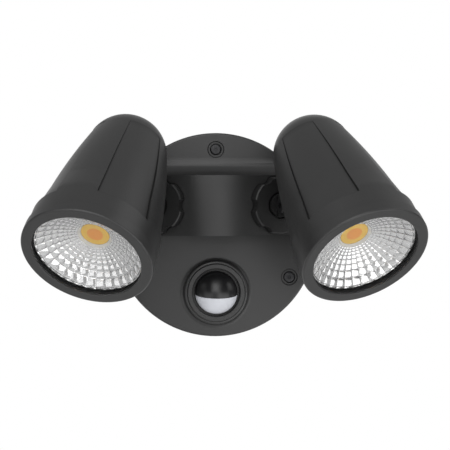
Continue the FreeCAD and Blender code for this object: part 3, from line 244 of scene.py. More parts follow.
@dataclass(frozen=True)
class Finish:
    """A surface finish: the look of one real material.

    Attributes:
        name: Name of the Blender material.
        slot: Material slot of the record that it stands for; not used.
    """

    name: str
    slot: str

    def start(self) -> tuple[bpy.types.Material, Tree, bpy.types.Node]:
        """Make an empty material with a principled shader joined to its output.

        Returns:
            The material, its node tree and its principled shader.
        """
        material = bpy.data.materials.new(self.name)
        tree = empty_tree(material)
        shader = add_node(tree, "BsdfPrincipled")
        add_node(tree, "OutputMaterial", links={"Surface": shader.outputs["BSDF"]})
        return material, tree, shader

    def build(self) -> bpy.types.Material:
        """Build the material; each kind of finish has its own way."""
        raise NotImplementedError


@dataclass(frozen=True)
class GrainedFinish(Finish):
    """A solid colour whose tone, roughness and relief vary with a fine grain, and that can
    carry painted shade in grooves.

    Attributes:
        colour: Colour of the high grains.
        low_colour: Colour of the low grains.
        roughness: Middle roughness.
        roughness_swing: How far the roughness swings from patch to patch.
        grain_mm: Size of a grain.
        relief: Strength of the grain's relief.
        relief_mm: Height of a grain at full strength.
        metallic: 1 for bare metal, 0 for paint, plastic and rubber.
        stretch: How much longer the grain is along X, Y and Z.
        grain_detail: How many finer grains lie on the grain, each half the size.
        grain_harshness: Strength of each finer grain as a share of the coarser one.
        patches_per_metre: Broad patches that are a little duller or glossier.
        patch_span: Values of the patches' noise that give the lowest and highest roughness.
        groove_shade_tone: Share of the colour that is left deep in grooves and seams, where
            painted shade darkens it.
        groove_shade_mm: How wide a groove still gets painted shade.
        groove_shade_span: Openness of the painted shade's darkest point and of the first plain
            one.
    """

    colour: str
    low_colour: str
    roughness: float
    roughness_swing: float = 0.06
    grain_mm: float = 0.6
    relief: float = 0.02
    relief_mm: float = 0.2
    metallic: float = 0.0
    stretch: tuple[float, float, float] = (1.0, 1.0, 1.0)
    grain_detail: float = 3.0
    grain_harshness: float = 0.55
    patches_per_metre: float = 22.0
    patch_span: tuple[float, float] = (0.3, 0.7)
    groove_shade_tone: float = FULL
    groove_shade_mm: float = 1.6
    groove_shade_span: tuple[float, float] = (0.5, 0.92)

    def paint_groove_shade(self, tree: Tree, tone: Socket) -> Socket:
        """Paint shade into a colour in tight grooves and seams, from ambient occlusion.

        Args:
            tree: The material's node tree.
            tone: The open surface's colour.

        Returns:
            The colour with painted shade in its grooves.
        """
        # Ambient occlusion: the less open a point, the more painted shade it gets.
        occlusion = add_node(
            tree, "AmbientOcclusion", settings={"samples": GROOVE_SHADE_SAMPLES},
            values={"Distance": self.groove_shade_mm * MM},
        )
        share = ramp(tree, occlusion.outputs["AO"], self.groove_shade_span, self.groove_shade_tone)
        shaded = add_node(
            tree, "Mix", settings={"data_type": "RGBA", "blend_type": "MULTIPLY"},
            values={MIX_FACTOR: FULL}, links={MIX_A: tone, MIX_B: share},
        )
        return shaded.outputs[MIX_RESULT]

    def build(self) -> bpy.types.Material:
        """Build the grained material on object coordinates.

        Returns:
            The material.
        """
        material, tree, shader = self.start()
        place = add_node(tree, "TexCoord")
        turned = add_node(
            tree, "Mapping", values={"Scale": tuple(1.0 / value for value in self.stretch)},
            links={"Vector": place.outputs["Object"]},
        )
        grain = add_node(
            tree, "TexNoise",
            values={
                "Scale": 1.0 / (self.grain_mm * MM),
                "Detail": self.grain_detail,
                "Roughness": self.grain_harshness,
            },
            links={"Vector": turned.outputs["Vector"]},
        )
        patches = add_node(
            tree, "TexNoise", values={"Scale": self.patches_per_metre},
            links={"Vector": place.outputs["Object"]},
        )
        tone = add_node(
            tree, "Mix", settings={"data_type": "RGBA"},
            values={MIX_A: linear(self.low_colour), MIX_B: linear(self.colour)},
            links={MIX_FACTOR: grain.outputs["Fac"]},
        )
        gloss = add_node(
            tree, "MapRange",
            values={
                "From Min": self.patch_span[0],
                "From Max": self.patch_span[1],
                "To Min": self.roughness - self.roughness_swing,
                "To Max": self.roughness + self.roughness_swing,
            },
            links={"Value": patches.outputs["Fac"]},
        )
        bump = add_node(
            tree, "Bump", values={"Strength": self.relief, "Distance": self.relief_mm * MM},
            links={"Height": grain.outputs["Fac"]},
        )
        shader.inputs["Metallic"].default_value = self.metallic
        colour = tone.outputs[MIX_RESULT]
        # Painted shade darkens the colour in grooves and seams.
        if self.groove_shade_tone < FULL:
            colour = self.paint_groove_shade(tree, colour)
        tree.links.new(colour, shader.inputs["Base Color"])
        tree.links.new(gloss.outputs["Result"], shader.inputs["Roughness"])
        tree.links.new(bump.outputs["Normal"], shader.inputs["Normal"])
        return material


@dataclass(frozen=True)
class TemperedGlass(Finish):
    """Clear tempered float glass, very slightly wavy.

    Attributes:
        colour: Colour of the light that passes.
        roughness: Roughness of its faces.
        ior: Index of refraction.
        shadow: Linear colour that the pane leaves to the light behind it.
        waves_per_metre: Waves of the surface.
        finer_waves: How many finer waves lie on them, each half the size.
        relief: Strength of the waves.
        relief_mm: Height of the waves at full strength.
    """

    colour: str = "#fdfdfd"
    roughness: float = 0.0
    ior: float = 1.5
    shadow: tuple[float, float, float, float] = (0.94, 0.95, 0.95, 1.0)
    waves_per_metre: float = 30.0
    finer_waves: float = 1.0
    relief: float = 0.01
    relief_mm: float = 0.1

    def build(self) -> bpy.types.Material:
        """Build a clear pane that lets shadow rays through.

        Returns:
            The material.
        """
        material, tree, shader = self.start()
        shader.inputs["Base Color"].default_value = linear(self.colour)
        shader.inputs["Roughness"].default_value = self.roughness
        shader.inputs["IOR"].default_value = self.ior
        shader.inputs["Transmission Weight"].default_value = FULL
        place = add_node(tree, "TexCoord")
        waves = add_node(
            tree, "TexNoise",
            values={"Scale": self.waves_per_metre, "Detail": self.finer_waves},
            links={"Vector": place.outputs["Object"]},
        )
        bump = add_node(
            tree, "Bump", values={"Strength": self.relief, "Distance": self.relief_mm * MM},
            links={"Height": waves.outputs["Fac"]},
        )
        tree.links.new(bump.outputs["Normal"], shader.inputs["Normal"])
        clear = add_node(tree, "BsdfTransparent", values={"Color": self.shadow})
        rays = add_node(tree, "LightPath")
        mixed = add_node(
            tree, "MixShader",
            links={
                SHADER_FACTOR: rays.outputs["Is Shadow Ray"],
                SHADER_A: shader.outputs["BSDF"],
                SHADER_B: clear.outputs["BSDF"],
            },
        )
        output = next(node for node in tree.nodes if node.type == "OUTPUT_MATERIAL")
        tree.links.new(mixed.outputs["Shader"], output.inputs["Surface"])
        return material


@dataclass(frozen=True)
class PhosphorGel(Finish):
    """Silicone gel full of yellow phosphor, deeper orange where the chips lie under it.

    Attributes:
        edge_colour: Colour of the gel's rim.
        core_colour: Colour over the chips.
        core_mm: Radius of the orange field.
        blend_mm: How far inside and outside that radius the colours blend.
        wobble_mm: How far the grains of phosphor shift the edge.
        grains_per_metre: Fineness of the grains.
        roughness: Roughness of the gel.
        ior: Index of refraction of the silicone.
        place: The disc's own frame in the row frame.
    """

    edge_colour: str = "#f4c23c"
    core_colour: str = "#f59a20"
    core_mm: float = 5.4
    blend_mm: tuple[float, float] = (0.1, 0.2)
    wobble_mm: float = 0.4
    grains_per_metre: float = 900.0
    roughness: float = 0.45
    ior: float = 1.42
    place: Matrix = field(default_factory=Matrix)

    def build(self) -> bpy.types.Material:
        """Build the gel with its orange field centred on the disc.

        Returns:
            The material.
        """
        material, tree, shader = self.start()
        coordinates = add_node(tree, "TexCoord")
        local = add_node(
            tree, "Mapping", settings={"vector_type": "TEXTURE"},
            values={"Location": self.place.to_translation(), "Rotation": self.place.to_euler()},
            links={"Vector": coordinates.outputs["Object"]},
        )
        parts = add_node(tree, "SeparateXYZ", links={"Vector": local.outputs["Vector"]})
        flat = add_node(
            tree, "CombineXYZ", links={"X": parts.outputs["X"], "Y": parts.outputs["Y"]},
        )
        speckle = add_node(
            tree, "TexNoise", values={"Scale": self.grains_per_metre},
            links={"Vector": coordinates.outputs["Object"]},
        )
        radius = add_node(
            tree, "VectorMath", settings={"operation": "LENGTH"},
            links={0: flat.outputs["Vector"]},
        )
        wobble = add_node(
            tree, "Math", settings={"operation": "MULTIPLY_ADD"},
            values={1: self.wobble_mm * MM},
            links={0: speckle.outputs["Fac"], 2: radius.outputs["Value"]},
        )
        span = (self.core_mm - self.blend_mm[0]) * MM, (self.core_mm + self.blend_mm[1]) * MM
        core = ramp(tree, wobble.outputs["Value"], span)
        tone = add_node(
            tree, "Mix", settings={"data_type": "RGBA"},
            values={MIX_A: linear(self.core_colour), MIX_B: linear(self.edge_colour)},
            links={MIX_FACTOR: core},
        )
        shader.inputs["Roughness"].default_value = self.roughness
        shader.inputs["IOR"].default_value = self.ior
        tree.links.new(tone.outputs[MIX_RESULT], shader.inputs["Base Color"])
        return material


@dataclass(frozen=True)
class FresnelLens(Finish):
    """Milky polyethylene lens, moulded with fine ring grooves on its skin.

    Attributes:
        colour: Colour of the plastic.
        ring_mm: Distance between two grooves.
        centre: Middle of the sensor's ball in metres.
        relief: Strength of the grooves.
        relief_mm: Depth of the grooves at full strength.
        roughness: Roughness of the skin.
        ior: Index of refraction.
        milk: Share of the light that is scattered inside.
        milk_mm: How far it travels inside.
    """

    colour: str = "#c9cbd1"
    ring_mm: float = 1.1
    centre: tuple[float, float, float] = (0.0, -0.0215, -0.0395)
    relief: float = 0.05
    relief_mm: float = 0.2
    roughness: float = 0.38
    ior: float = 1.51
    milk: float = 0.25
    milk_mm: float = 2.0

    def build(self) -> bpy.types.Material:
        """Build the lens with faint grooves round its middle.

        Returns:
            The material.
        """
        material, tree, shader = self.start()
        coordinates = add_node(tree, "TexCoord")
        local = add_node(
            tree, "Mapping", settings={"vector_type": "TEXTURE"},
            values={"Location": self.centre},
            links={"Vector": coordinates.outputs["Object"]},
        )
        # The rings repeat each pi / (10 * Scale) metres.
        rings = add_node(
            tree, "TexWave", settings={"wave_type": "RINGS", "rings_direction": "Y"},
            values={"Scale": math.pi / (10 * self.ring_mm * MM)},
            links={"Vector": local.outputs["Vector"]},
        )
        bump = add_node(
            tree, "Bump", values={"Strength": self.relief, "Distance": self.relief_mm * MM},
            links={"Height": rings.outputs["Fac"]},
        )
        shader.inputs["Base Color"].default_value = linear(self.colour)
        shader.inputs["Roughness"].default_value = self.roughness
        shader.inputs["Subsurface Weight"].default_value = self.milk
        shader.inputs["Subsurface Radius"].default_value = (self.milk_mm * MM,) * 3
        shader.inputs["IOR"].default_value = self.ior
        tree.links.new(bump.outputs["Normal"], shader.inputs["Normal"])
        return material


class Coat(Enum):
    """The finishes of the light, each a real material."""

    # Die-cast aluminium under a fine black powder coat: satin, with a faint orange-peel grain,
    # and painted shade in its grooves.
    POWDER = GrainedFinish(
        "black_powder_coat", "housing_black", colour="#2a2a2a", low_colour="#242424",
        roughness=0.4, grain_mm=0.9, groove_shade_tone=0.05,
    )
    # The arms have the same coat but were cast more coarsely; their colour is set darker than
    # the coat's as painted shade, and painted shade also darkens their grooves.
    ARM_POWDER = GrainedFinish(
        "black_powder_coat_on_arm_painted_shade", "knuckle_black", colour="#1c1c1c", low_colour="#171717",
        roughness=0.45, grain_mm=0.8, groove_shade_tone=0.05,
    )
    # Moulded ABS with a fine spark-eroded texture: duller than the castings, with painted shade
    # in its grooves.
    RING_ABS = GrainedFinish(
        "textured_black_abs", "ring_black", colour="#141414", low_colour="#101010",
        roughness=0.5, grain_mm=0.5, groove_shade_tone=0.1,
    )
    # Moulded polycarbonate collar of the sensor: satin, with painted shade in its grooves.
    COLLAR_PC = GrainedFinish(
        "black_polycarbonate", "collar_black", colour="#2a2a2a", low_colour="#252525",
        roughness=0.42, groove_shade_tone=0.1,
    )
    # Polished ABS ball: deep black with clear reflections.
    BALL_ABS = GrainedFinish(
        "polished_black_abs", "ball_black", colour="#161617", low_colour="#131314",
        roughness=0.34, roughness_swing=0.03, grain_mm=0.8, relief=0.004,
    )
    # Black nitrile rubber: dull and very dark.
    RUBBER = GrainedFinish(
        "black_nitrile_rubber", "gasket_black", colour="#0c0c0c", low_colour="#090909",
        roughness=0.7, grain_mm=0.7, relief=0.05,
    )
    # Closed-cell EPDM foam: matt with open pores at its cut edge.
    FOAM = GrainedFinish(
        "black_epdm_foam", "foam_grey", colour="#3a3a3a", low_colour="#191919",
        roughness=0.92, relief=0.35,
    )
    # Blackened steel screw: dark metal with a dull sheen.
    BLACK_SCREW = GrainedFinish(
        "blackened_steel_screw", "screw_black", colour="#2d2d2f", low_colour="#242426",
        roughness=0.42, metallic=0.35,
    )
    # Blackened steel bolt and nut of the knuckle: darker and less metallic than the screws.
    BLACK_BOLT = GrainedFinish(
        "blackened_steel_bolt", "bolt_black", colour="#161617", low_colour="#111112",
        roughness=0.45, metallic=0.2,
    )
    # Zinc-plated steel sheet: pale grey with a soft rolled streak along X.
    ZINC = GrainedFinish(
        "zinc_plated_steel", "zinc_steel", colour="#b9bcc0", low_colour="#a3a6ab",
        roughness=0.34, metallic=1.0, grain_mm=0.5, stretch=(8.0, 1.0, 1.0),
    )
    # As-cast aluminium disc: pale, dull, slightly pitted.
    CAST = GrainedFinish(
        "cast_aluminium", "cast_plate", colour="#b4b5b8", low_colour="#9a9b9e",
        roughness=0.5, metallic=1.0, grain_mm=0.7, relief=0.08,
    )
    # Vacuum-metallised reflector: bright aluminium film on plastic, with painted shade in the
    # seams between facets.
    MIRROR = GrainedFinish(
        "vacuum_metallised_film", "reflector_silver", colour="#dedede", low_colour="#d4d4d4",
        roughness=0.11, roughness_swing=0.03, metallic=1.0, grain_mm=1.5,
        groove_shade_tone=0.3, groove_shade_mm=0.45, groove_shade_span=(0.7, 0.94),
    )
    # White solder mask on the ceramic board of the light source.
    CERAMIC = GrainedFinish(
        "white_ceramic_board", "chip_white", colour="#cfd0ce", low_colour="#c6c7c5",
        roughness=0.4,
    )
    # Glass-filled white nylon clamp ring.
    HOLDER = GrainedFinish(
        "glass_filled_white_nylon", "holder_white", colour="#efefec", low_colour="#e6e6e2",
        roughness=0.5,
    )
    # Green solder mask on fibreglass board.
    BOARD = GrainedFinish(
        "green_solder_mask", "board_green", colour="#1d5a33", low_colour="#174b2a",
        roughness=0.35,
    )
    # Flame-retardant case of the driver: dull black moulding.
    DRIVER = GrainedFinish(
        "flame_retardant_case", "driver_black", colour="#2b2b2b", low_colour="#242424",
        roughness=0.6,
    )
    # Ivory polyamide of the terminal block.
    TERMINAL = GrainedFinish(
        "ivory_polyamide", "terminal_white", colour="#d8d3c4", low_colour="#cdc8b8",
        roughness=0.45,
    )
    # Blue polyester case of the relay.
    RELAY = GrainedFinish(
        "blue_polyester_case", "relay_blue", colour="#2458a6", low_colour="#1f4d93",
        roughness=0.35,
    )
    # Nickel-plated steel can of the infrared detector.
    CAN = GrainedFinish(
        "nickel_plated_can", "detector_can", colour="#c2bfb8", low_colour="#b3b0a9",
        roughness=0.24, metallic=1.0, grain_mm=0.5,
    )
    # Black nylon washers: dull and slightly waxy.
    NYLON = GrainedFinish(
        "black_nylon_washer", "washer_nylon", colour="#202021", low_colour="#1a1a1b",
        roughness=0.5,
    )
    # Clear tempered glass of the lamp fronts.
    GLASS = TemperedGlass("clear_tempered_glass", "clear_glass")
    # Milky polyethylene of the sensor's lens.
    LENS = FresnelLens("milky_polyethylene_lens", "lens_white")


class FinishShelf:
    """Keeps each finish's material, so that it is built once."""

    def __init__(self) -> None:
        """Start with an empty shelf."""
        self.materials: dict[str, bpy.types.Material] = {}

    def take(self, finish: Finish) -> bpy.types.Material:
        """Give the material of a finish, and build it the first time.

        Args:
            finish: The finish.

        Returns:
            Its material.
        """
        if finish.name not in self.materials:
            self.materials[finish.name] = finish.build()
        return self.materials[finish.name]


# Sub-assemblies


@dataclass
class Assembly:
    """A group of CAD nodes that are dressed together.

    Attributes:
        shelf: The finishes' materials.
        coats: Finish of each node: a Coat, or one made for that node alone.
        smooth_deg: Edges that turn by less than this are shaded smooth.
    """

    frame: dict[str, Any]
    shelf: FinishShelf
    coats: dict[str, Coat | Finish] = field(default_factory=dict)
    smooth_deg: float = 32.0

    def finished_copy(self, node: str) -> bpy.types.Object:
        """Make a merged copy of a CAD node with smooth faces and crisp edges.

        Args:
            node: Name of the CAD node.

        Returns:
            The copy, which rides with the node's body and stands for the node.
        """
        source = self.frame["nodes"][node]
        item = bpy.data.objects.new(f"{node}_finished", source.data.copy())
        bpy.context.scene.collection.objects.link(item)
        open_mesh(item, "VERT")
        bpy.ops.mesh.remove_doubles(threshold=MERGE_DISTANCE)
        close_mesh()
        bpy.ops.mesh.customdata_custom_splitnormals_clear()
        bpy.ops.object.shade_smooth_by_angle(angle=math.radians(self.smooth_deg))
        weighted = item.modifiers.new("weighted_normals", "WEIGHTED_NORMAL")
        weighted.keep_sharp = True
        apply_modifiers(item)
        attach(item, source["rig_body"])
        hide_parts(node)
        return item

    def paint(self, item: bpy.types.Object, finish: Finish) -> None:
        """Give an object one finish.

        Args:
            item: The object.
            finish: The finish.
        """
        item.data.materials.clear()
        item.data.materials.append(self.shelf.take(finish))

    def dress(self) -> None:
        """Finish every node of the group."""
        for node, coat in self.coats.items():
            finish = coat.value if isinstance(coat, Coat) else coat
            self.paint(self.finished_copy(node), finish)
            LOG.info("%s: %s", node, finish.name)


@dataclass
class Canopy(Assembly):
    """The wall canopy with its bracket, screws and electrics."""

    def __post_init__(self) -> None:
        """Name the finish of each piece."""
        self.coats = {
            "canopy_housing": Coat.POWDER,
            "mounting_bracket": Coat.ZINC,
            "wall_gasket": Coat.FOAM,
            "cover_screws": Coat.BLACK_SCREW,
            "cable_grommet": Coat.RUBBER,
            "led_driver": Coat.DRIVER,
            "terminal_block": Coat.TERMINAL,
            "control_board": Coat.BOARD,
            "relay": Coat.RELAY,
        }


@dataclass
class CounterboreShadeRings(Assembly):
    """Dark rings in the corners of the counterbores round the cover screws: painted shade along
    the counterbores' edges, shaped and coated as rubber seals.

    Attributes:
        count: Number of screws.
        head_radius: Radius of a screw's head.
        ring_radius: Radius of a ring's middle line.
        wire_radius: Half the thickness of a ring.
        floor_gap: How far the counterbore's floor stands in front of the heads.
        seat_share: Where the flat seat lies, as a share of the ring's half thickness.
        segments: Divisions round the ring and round its wire.
    """

    count: int = 3
    head_radius: float = 3.7
    ring_radius: float = 5.45
    wire_radius: float = 0.35
    floor_gap: float = 0.1
    seat_share: float = 0.7
    segments: tuple[int, int] = (64, 12)

    def add_ring(self) -> bpy.types.Object:
        """Shape one ring round the Z axis, with a flat seat on its -Z side.

        Returns:
            The ring, at the origin.
        """
        seat = -self.seat_share * self.wire_radius * MM
        bpy.ops.object.select_all(action="DESELECT")
        bpy.ops.mesh.primitive_torus_add(
            location=(0.0, 0.0, 0.0),
            major_radius=self.ring_radius * MM,
            minor_radius=self.wire_radius * MM,
            major_segments=self.segments[0],
            minor_segments=self.segments[1],
        )
        ring = bpy.context.active_object
        open_mesh(ring, "VERT", "DESELECT")
        close_mesh()
        for corner in ring.data.vertices:
            corner.select = corner.co.z < seat
        bpy.ops.object.mode_set(mode="EDIT")
        bpy.ops.transform.resize(value=(1.0, 1.0, 0.0), center_override=(0.0, 0.0, seat))
        close_mesh()
        bpy.ops.object.shade_smooth_by_angle(angle=math.radians(self.smooth_deg))
        return ring

    def dress(self) -> None:
        """Put a copy of the ring round each screw."""
        low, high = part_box("cover_screws")
        reach = high.z - self.head_radius * MM
        floor = low.y - self.floor_gap * MM
        pattern = self.add_ring()
        for number in range(self.count):
            turn = 2 * math.pi * number / self.count
            place = Matrix.Translation((reach * math.sin(turn), floor, reach * math.cos(turn)))
            ring = bpy.data.objects.new(f"counterbore_shade_ring_{number + 1}", pattern.data.copy())
            ring.data.transform(place @ Matrix.Rotation(math.pi / 2, 4, "X"))
            bpy.context.scene.collection.objects.link(ring)
            # The black rubber coat is painted shade in the counterbore's corner.
            self.paint(ring, Coat.RUBBER.value)
            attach(ring, self.frame["nodes"]["cover_screws"]["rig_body"])
        bpy.data.objects.remove(pattern)
        LOG.info("screw seals: %d", self.count)


@dataclass
class MotionSensor(Assembly):
    """The sensor: collar, seal, ball, lens and what is inside the ball."""

    def __post_init__(self) -> None:
        """Name the finish of each piece."""
        self.coats = {
            "sensor_collar": Coat.COLLAR_PC,
            "sensor_seal": Coat.RUBBER,
            "sensor_ball": Coat.BALL_ABS,
            "sensor_lens": Coat.LENS,
            "sensor_board": Coat.BOARD,
            "infrared_detector": Coat.CAN,
        }


@dataclass
class Knuckle(Assembly):
    """One swivel-and-tilt knuckle with its lock ring.

    Attributes:
        side: "left" or "right".
    """

    side: str = "left"

    def __post_init__(self) -> None:
        """Name the finish of each piece."""
        pieces = {
            "lock_ring": Coat.RING_ABS,
            "swivel_washer": Coat.NYLON,
            # The arm's coat is a darker copy of the powder coat: painted shade.
            "swivel_arm": Coat.ARM_POWDER,
            "retaining_ring": Coat.ZINC,
            "knuckle_bolt": Coat.BLACK_BOLT,
            "knuckle_washer": Coat.NYLON,
            "knuckle_nut": Coat.BLACK_BOLT,
        }
        self.coats = {f"{self.side}_{name}": coat for name, coat in pieces.items()}


@dataclass(frozen=True)
class Pillow:
    """How a flat facet of a reflector is rounded towards the light source.

    Attributes:
        border: Width and rise of the facet's border, as shares of its edges.
        peak: Rise of the facet's middle as a share of its reach to the corners.
        sharp_deg: Edges that turn by more than this stay sharp.
    """

    border: tuple[float, float] = (0.08, 0.04)
    peak: float = 0.18
    sharp_deg: float = 24.0


@dataclass
class LampHead(Assembly):
    """One bullet-shaped lamp head.

    Attributes:
        side: "left" or "right".
        tilt_deg: Downward tilt from the swivel axis.
        yaw_deg: Outward turn of the swivel axis.
        columns: Number of facets in a row of the bowl.
        start_deg: Turn of the first column, which keeps its corners off the casting's own.
        pillow: How the reflector's facets are rounded.
        flat_deg: Triangles of the casting that turn by less than this make one facet.
        facing: Least share of a facet's normal that points at the axis and along the beam.
        ring_step: Corners that lie nearer to each other than this are on one ring.
        ring_gap: Smallest distance between two rings, and largest width of a seam.
        beam: Direction in which the light leaves.
        centre: Middle of the phosphor disc in metres.
    """

    side: str = "left"
    tilt_deg: float = 44.62
    yaw_deg: float = 22.65
    columns: int = 36
    start_deg: float = 1.25
    pillow: Pillow = Pillow()
    flat_deg: float = 0.6
    facing: tuple[float, float] = (0.1, 0.3)
    ring_step: float = 0.2
    ring_gap: float = 0.3
    beam: Vector = field(init=False)
    centre: Vector = field(init=False)

    def __post_init__(self) -> None:
        """Work out the beam, and name the finish of each piece."""
        yaw = math.radians(self.yaw_deg) * (-1 if self.side == "left" else 1)
        tilt = math.radians(self.tilt_deg)
        level = Vector((math.sin(yaw), -math.cos(yaw), 0.0))
        self.beam = level * math.cos(tilt) - Vector((0.0, 0.0, 1.0)) * math.sin(tilt)
        low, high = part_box(f"{self.side}_phosphor")
        self.centre = (low + high) / 2
        gel = PhosphorGel(
            f"phosphor_gel_{self.side}", "phosphor_yellow", place=self.disc_frame(-self.beam)
        )
        pieces = {
            "head_housing": Coat.POWDER,
            "front_ring": Coat.POWDER,
            "front_gasket": Coat.RUBBER,
            "glass": Coat.GLASS,
            "glass_seal": Coat.RUBBER,
            "reflector": Coat.MIRROR,
            "phosphor": gel,
            "chip_board": Coat.CERAMIC,
            "clamp_ring": Coat.HOLDER,
            "clamp_screws": Coat.ZINC,
            "heat_spreader": Coat.CAST,
        }
        self.coats = {f"{self.side}_{name}": coat for name, coat in pieces.items()}

    def disc_frame(self, axis: Vector) -> Matrix:
        """Give a frame in the middle of the phosphor disc.

        Args:
            axis: Direction of the frame's Z axis.

        Returns:
            The frame's place in the row frame.
        """
        turn = axis.to_track_quat("Z", "Y").to_matrix().to_4x4()
        return Matrix.Translation(self.centre) @ turn

    def round_the_beam(self, point: Vector) -> Vector:
        """Measure where a point lies round the beam.

        Args:
            point: A point in the row frame.

        Returns:
            Its distance from the beam's axis, and its height over the phosphor disc.
        """
        reach = point - self.centre
        height = reach.dot(self.beam)
        return Vector(((reach - self.beam * height).length, height))

    def facets(self, reflector: bpy.types.Object) -> list[int]:
        """Find the facets of the bowl's inside.

        Args:
            reflector: The merged reflector, with each facet one face.

        Returns:
            The numbers of the faces.
        """
        found = []
        for face in reflector.data.polygons:
            reach = face.center - self.centre
            outward = reach - self.beam * reach.dot(self.beam)
            faces_axis = face.normal.dot(outward) < -self.facing[0] * outward.length
            faces_front = face.normal.dot(self.beam) > self.facing[1]
            if len(face.vertices) == 4 and faces_axis and faces_front:
                found.append(face.index)
        return found

    def bowl_rings(self, reflector: bpy.types.Object, chosen: list[int]) -> list[Vector]:
        """Measure the rings of corners between the bowl's rows of facets.

        Args:
            reflector: The merged reflector.
            chosen: Numbers of the facets' faces.

        Returns:
            Radius and height over the phosphor disc of each ring, from the middle outward.
        """
        mesh = reflector.data
        rings = {}
        for index in chosen:
            for corner in mesh.polygons[index].vertices:
                ring = self.round_the_beam(mesh.vertices[corner].co)
                rings[round(ring.x / (self.ring_step * MM))] = ring
        found = sorted(rings.values(), key=lambda ring: ring.x)
        gap = self.ring_gap * MM
        apart = [ring for ring, after in zip(found, found[1:]) if after.x - ring.x > gap]
        return apart + [found[-1]]

    def clear_bowl(self, reflector: bpy.types.Object) -> list[Vector]:
        """Take the casting's own narrow facets out of the bowl.

        Args:
            reflector: The merged reflector.

        Returns:
            The rings of corners that they had.
        """
        select_only(reflector)
        bpy.ops.mesh.customdata_custom_splitnormals_clear()
        open_mesh(reflector, "FACE")
        bpy.ops.mesh.dissolve_limited(angle_limit=math.radians(self.flat_deg))
        bpy.ops.mesh.select_all(action="DESELECT")
        close_mesh()
        chosen = self.facets(reflector)
        rings = self.bowl_rings(reflector, chosen)
        for index in chosen:
            reflector.data.polygons[index].select = True
        bpy.ops.object.mode_set(mode="EDIT")
        bpy.ops.mesh.delete(type="FACE")
        close_mesh()
        return rings

    def add_bowl(self, rings: list[Vector]) -> bpy.types.Object:
        """Build the bowl's skin from rows of flat facets.

        Args:
            rings: Radius and height of each ring of corners, from the middle outward.

        Returns:
            The skin in the row frame, with its faces towards the beam.
        """
        bpy.ops.object.select_all(action="DESELECT")
        bpy.ops.mesh.primitive_circle_add(
            vertices=self.columns, radius=rings[0].x, location=(0.0, 0.0, 0.0)
        )
        skin = bpy.context.active_object
        open_mesh(skin, "EDGE")
        bpy.ops.transform.translate(value=(0.0, 0.0, rings[0].y))
        for inner, outer in zip(rings, rings[1:]):
            bpy.ops.mesh.extrude_region_move(
                TRANSFORM_OT_translate={"value": (0.0, 0.0, outer.y - inner.y)}
            )
            growth = outer.x / inner.x
            bpy.ops.transform.resize(value=(growth, growth, 1.0))
        close_mesh()
        if skin.data.polygons[0].normal.z < 0:
            skin.data.flip_normals()
        start = Matrix.Rotation(math.radians(self.start_deg), 4, "Z")
        skin.data.transform(self.disc_frame(self.beam) @ start)
        return skin

    def round_facets(self, skin: bpy.types.Object) -> None:
        """Raise and round the middle of each facet.

        Args:
            skin: The bowl's skin, with each facet one face.
        """
        width, rise = self.pillow.border
        open_mesh(skin, "FACE")
        bpy.ops.mesh.inset(
            thickness=width, depth=rise, use_individual=True, use_relative_offset=True
        )
        bpy.ops.mesh.poke(offset=self.pillow.peak, use_relative_offset=True)
        close_mesh()

    def close_seam(self, reflector: bpy.types.Object, ring: Vector) -> None:
        """Bridge the narrow gap between the new skin and the casting's own edge.

        Args:
            reflector: The reflector with its new skin joined.
            ring: Radius and height of the seam.
        """
        mesh = reflector.data
        open_mesh(reflector, "EDGE", "DESELECT")
        bpy.ops.mesh.select_non_manifold(
            extend=False, use_wire=False, use_multi_face=False, use_non_contiguous=False,
            use_verts=False,
        )
        close_mesh()
        for edge in mesh.edges:
            miss = self.round_the_beam(mesh.vertices[edge.vertices[0]].co) - ring
            edge.select = edge.select and miss.length < self.ring_gap * MM
        bpy.ops.object.mode_set(mode="EDIT")
        bpy.ops.mesh.bridge_edge_loops()
        close_mesh()

    def remake_bowl(self, reflector: bpy.types.Object) -> None:
        """Give the bowl broad facets, each with a raised, rounded middle.

        Args:
            reflector: The merged reflector, which has its finish.
        """
        rings = self.clear_bowl(reflector)
        skin = self.add_bowl(rings)
        skin.data.materials.append(reflector.data.materials[0])
        self.round_facets(skin)
        select_only(reflector)
        skin.select_set(True)
        bpy.ops.object.join()
        for ring in (rings[0], rings[-1]):
            self.close_seam(reflector, ring)
        bpy.ops.object.shade_smooth_by_angle(angle=math.radians(self.pillow.sharp_deg))
        LOG.info("%s reflector: %d rows of %d facets", self.side, len(rings) - 1, self.columns)

    def dress(self) -> None:
        """Finish every piece, and remake the reflector's bowl."""
        super().dress()
        self.remake_bowl(bpy.data.objects[f"{self.side}_reflector_finished"])


# Stage


@dataclass(frozen=True)
class SoftBox:
    """A soft rectangular lamp.

    Attributes:
        name: Name of the lamp.
        place: Position in metres.
        size: Width and height in metres.
        watts: Power of the lamp.
    """

    name: str
    place: tuple[float, float, float]
    size: tuple[float, float]
    watts: float


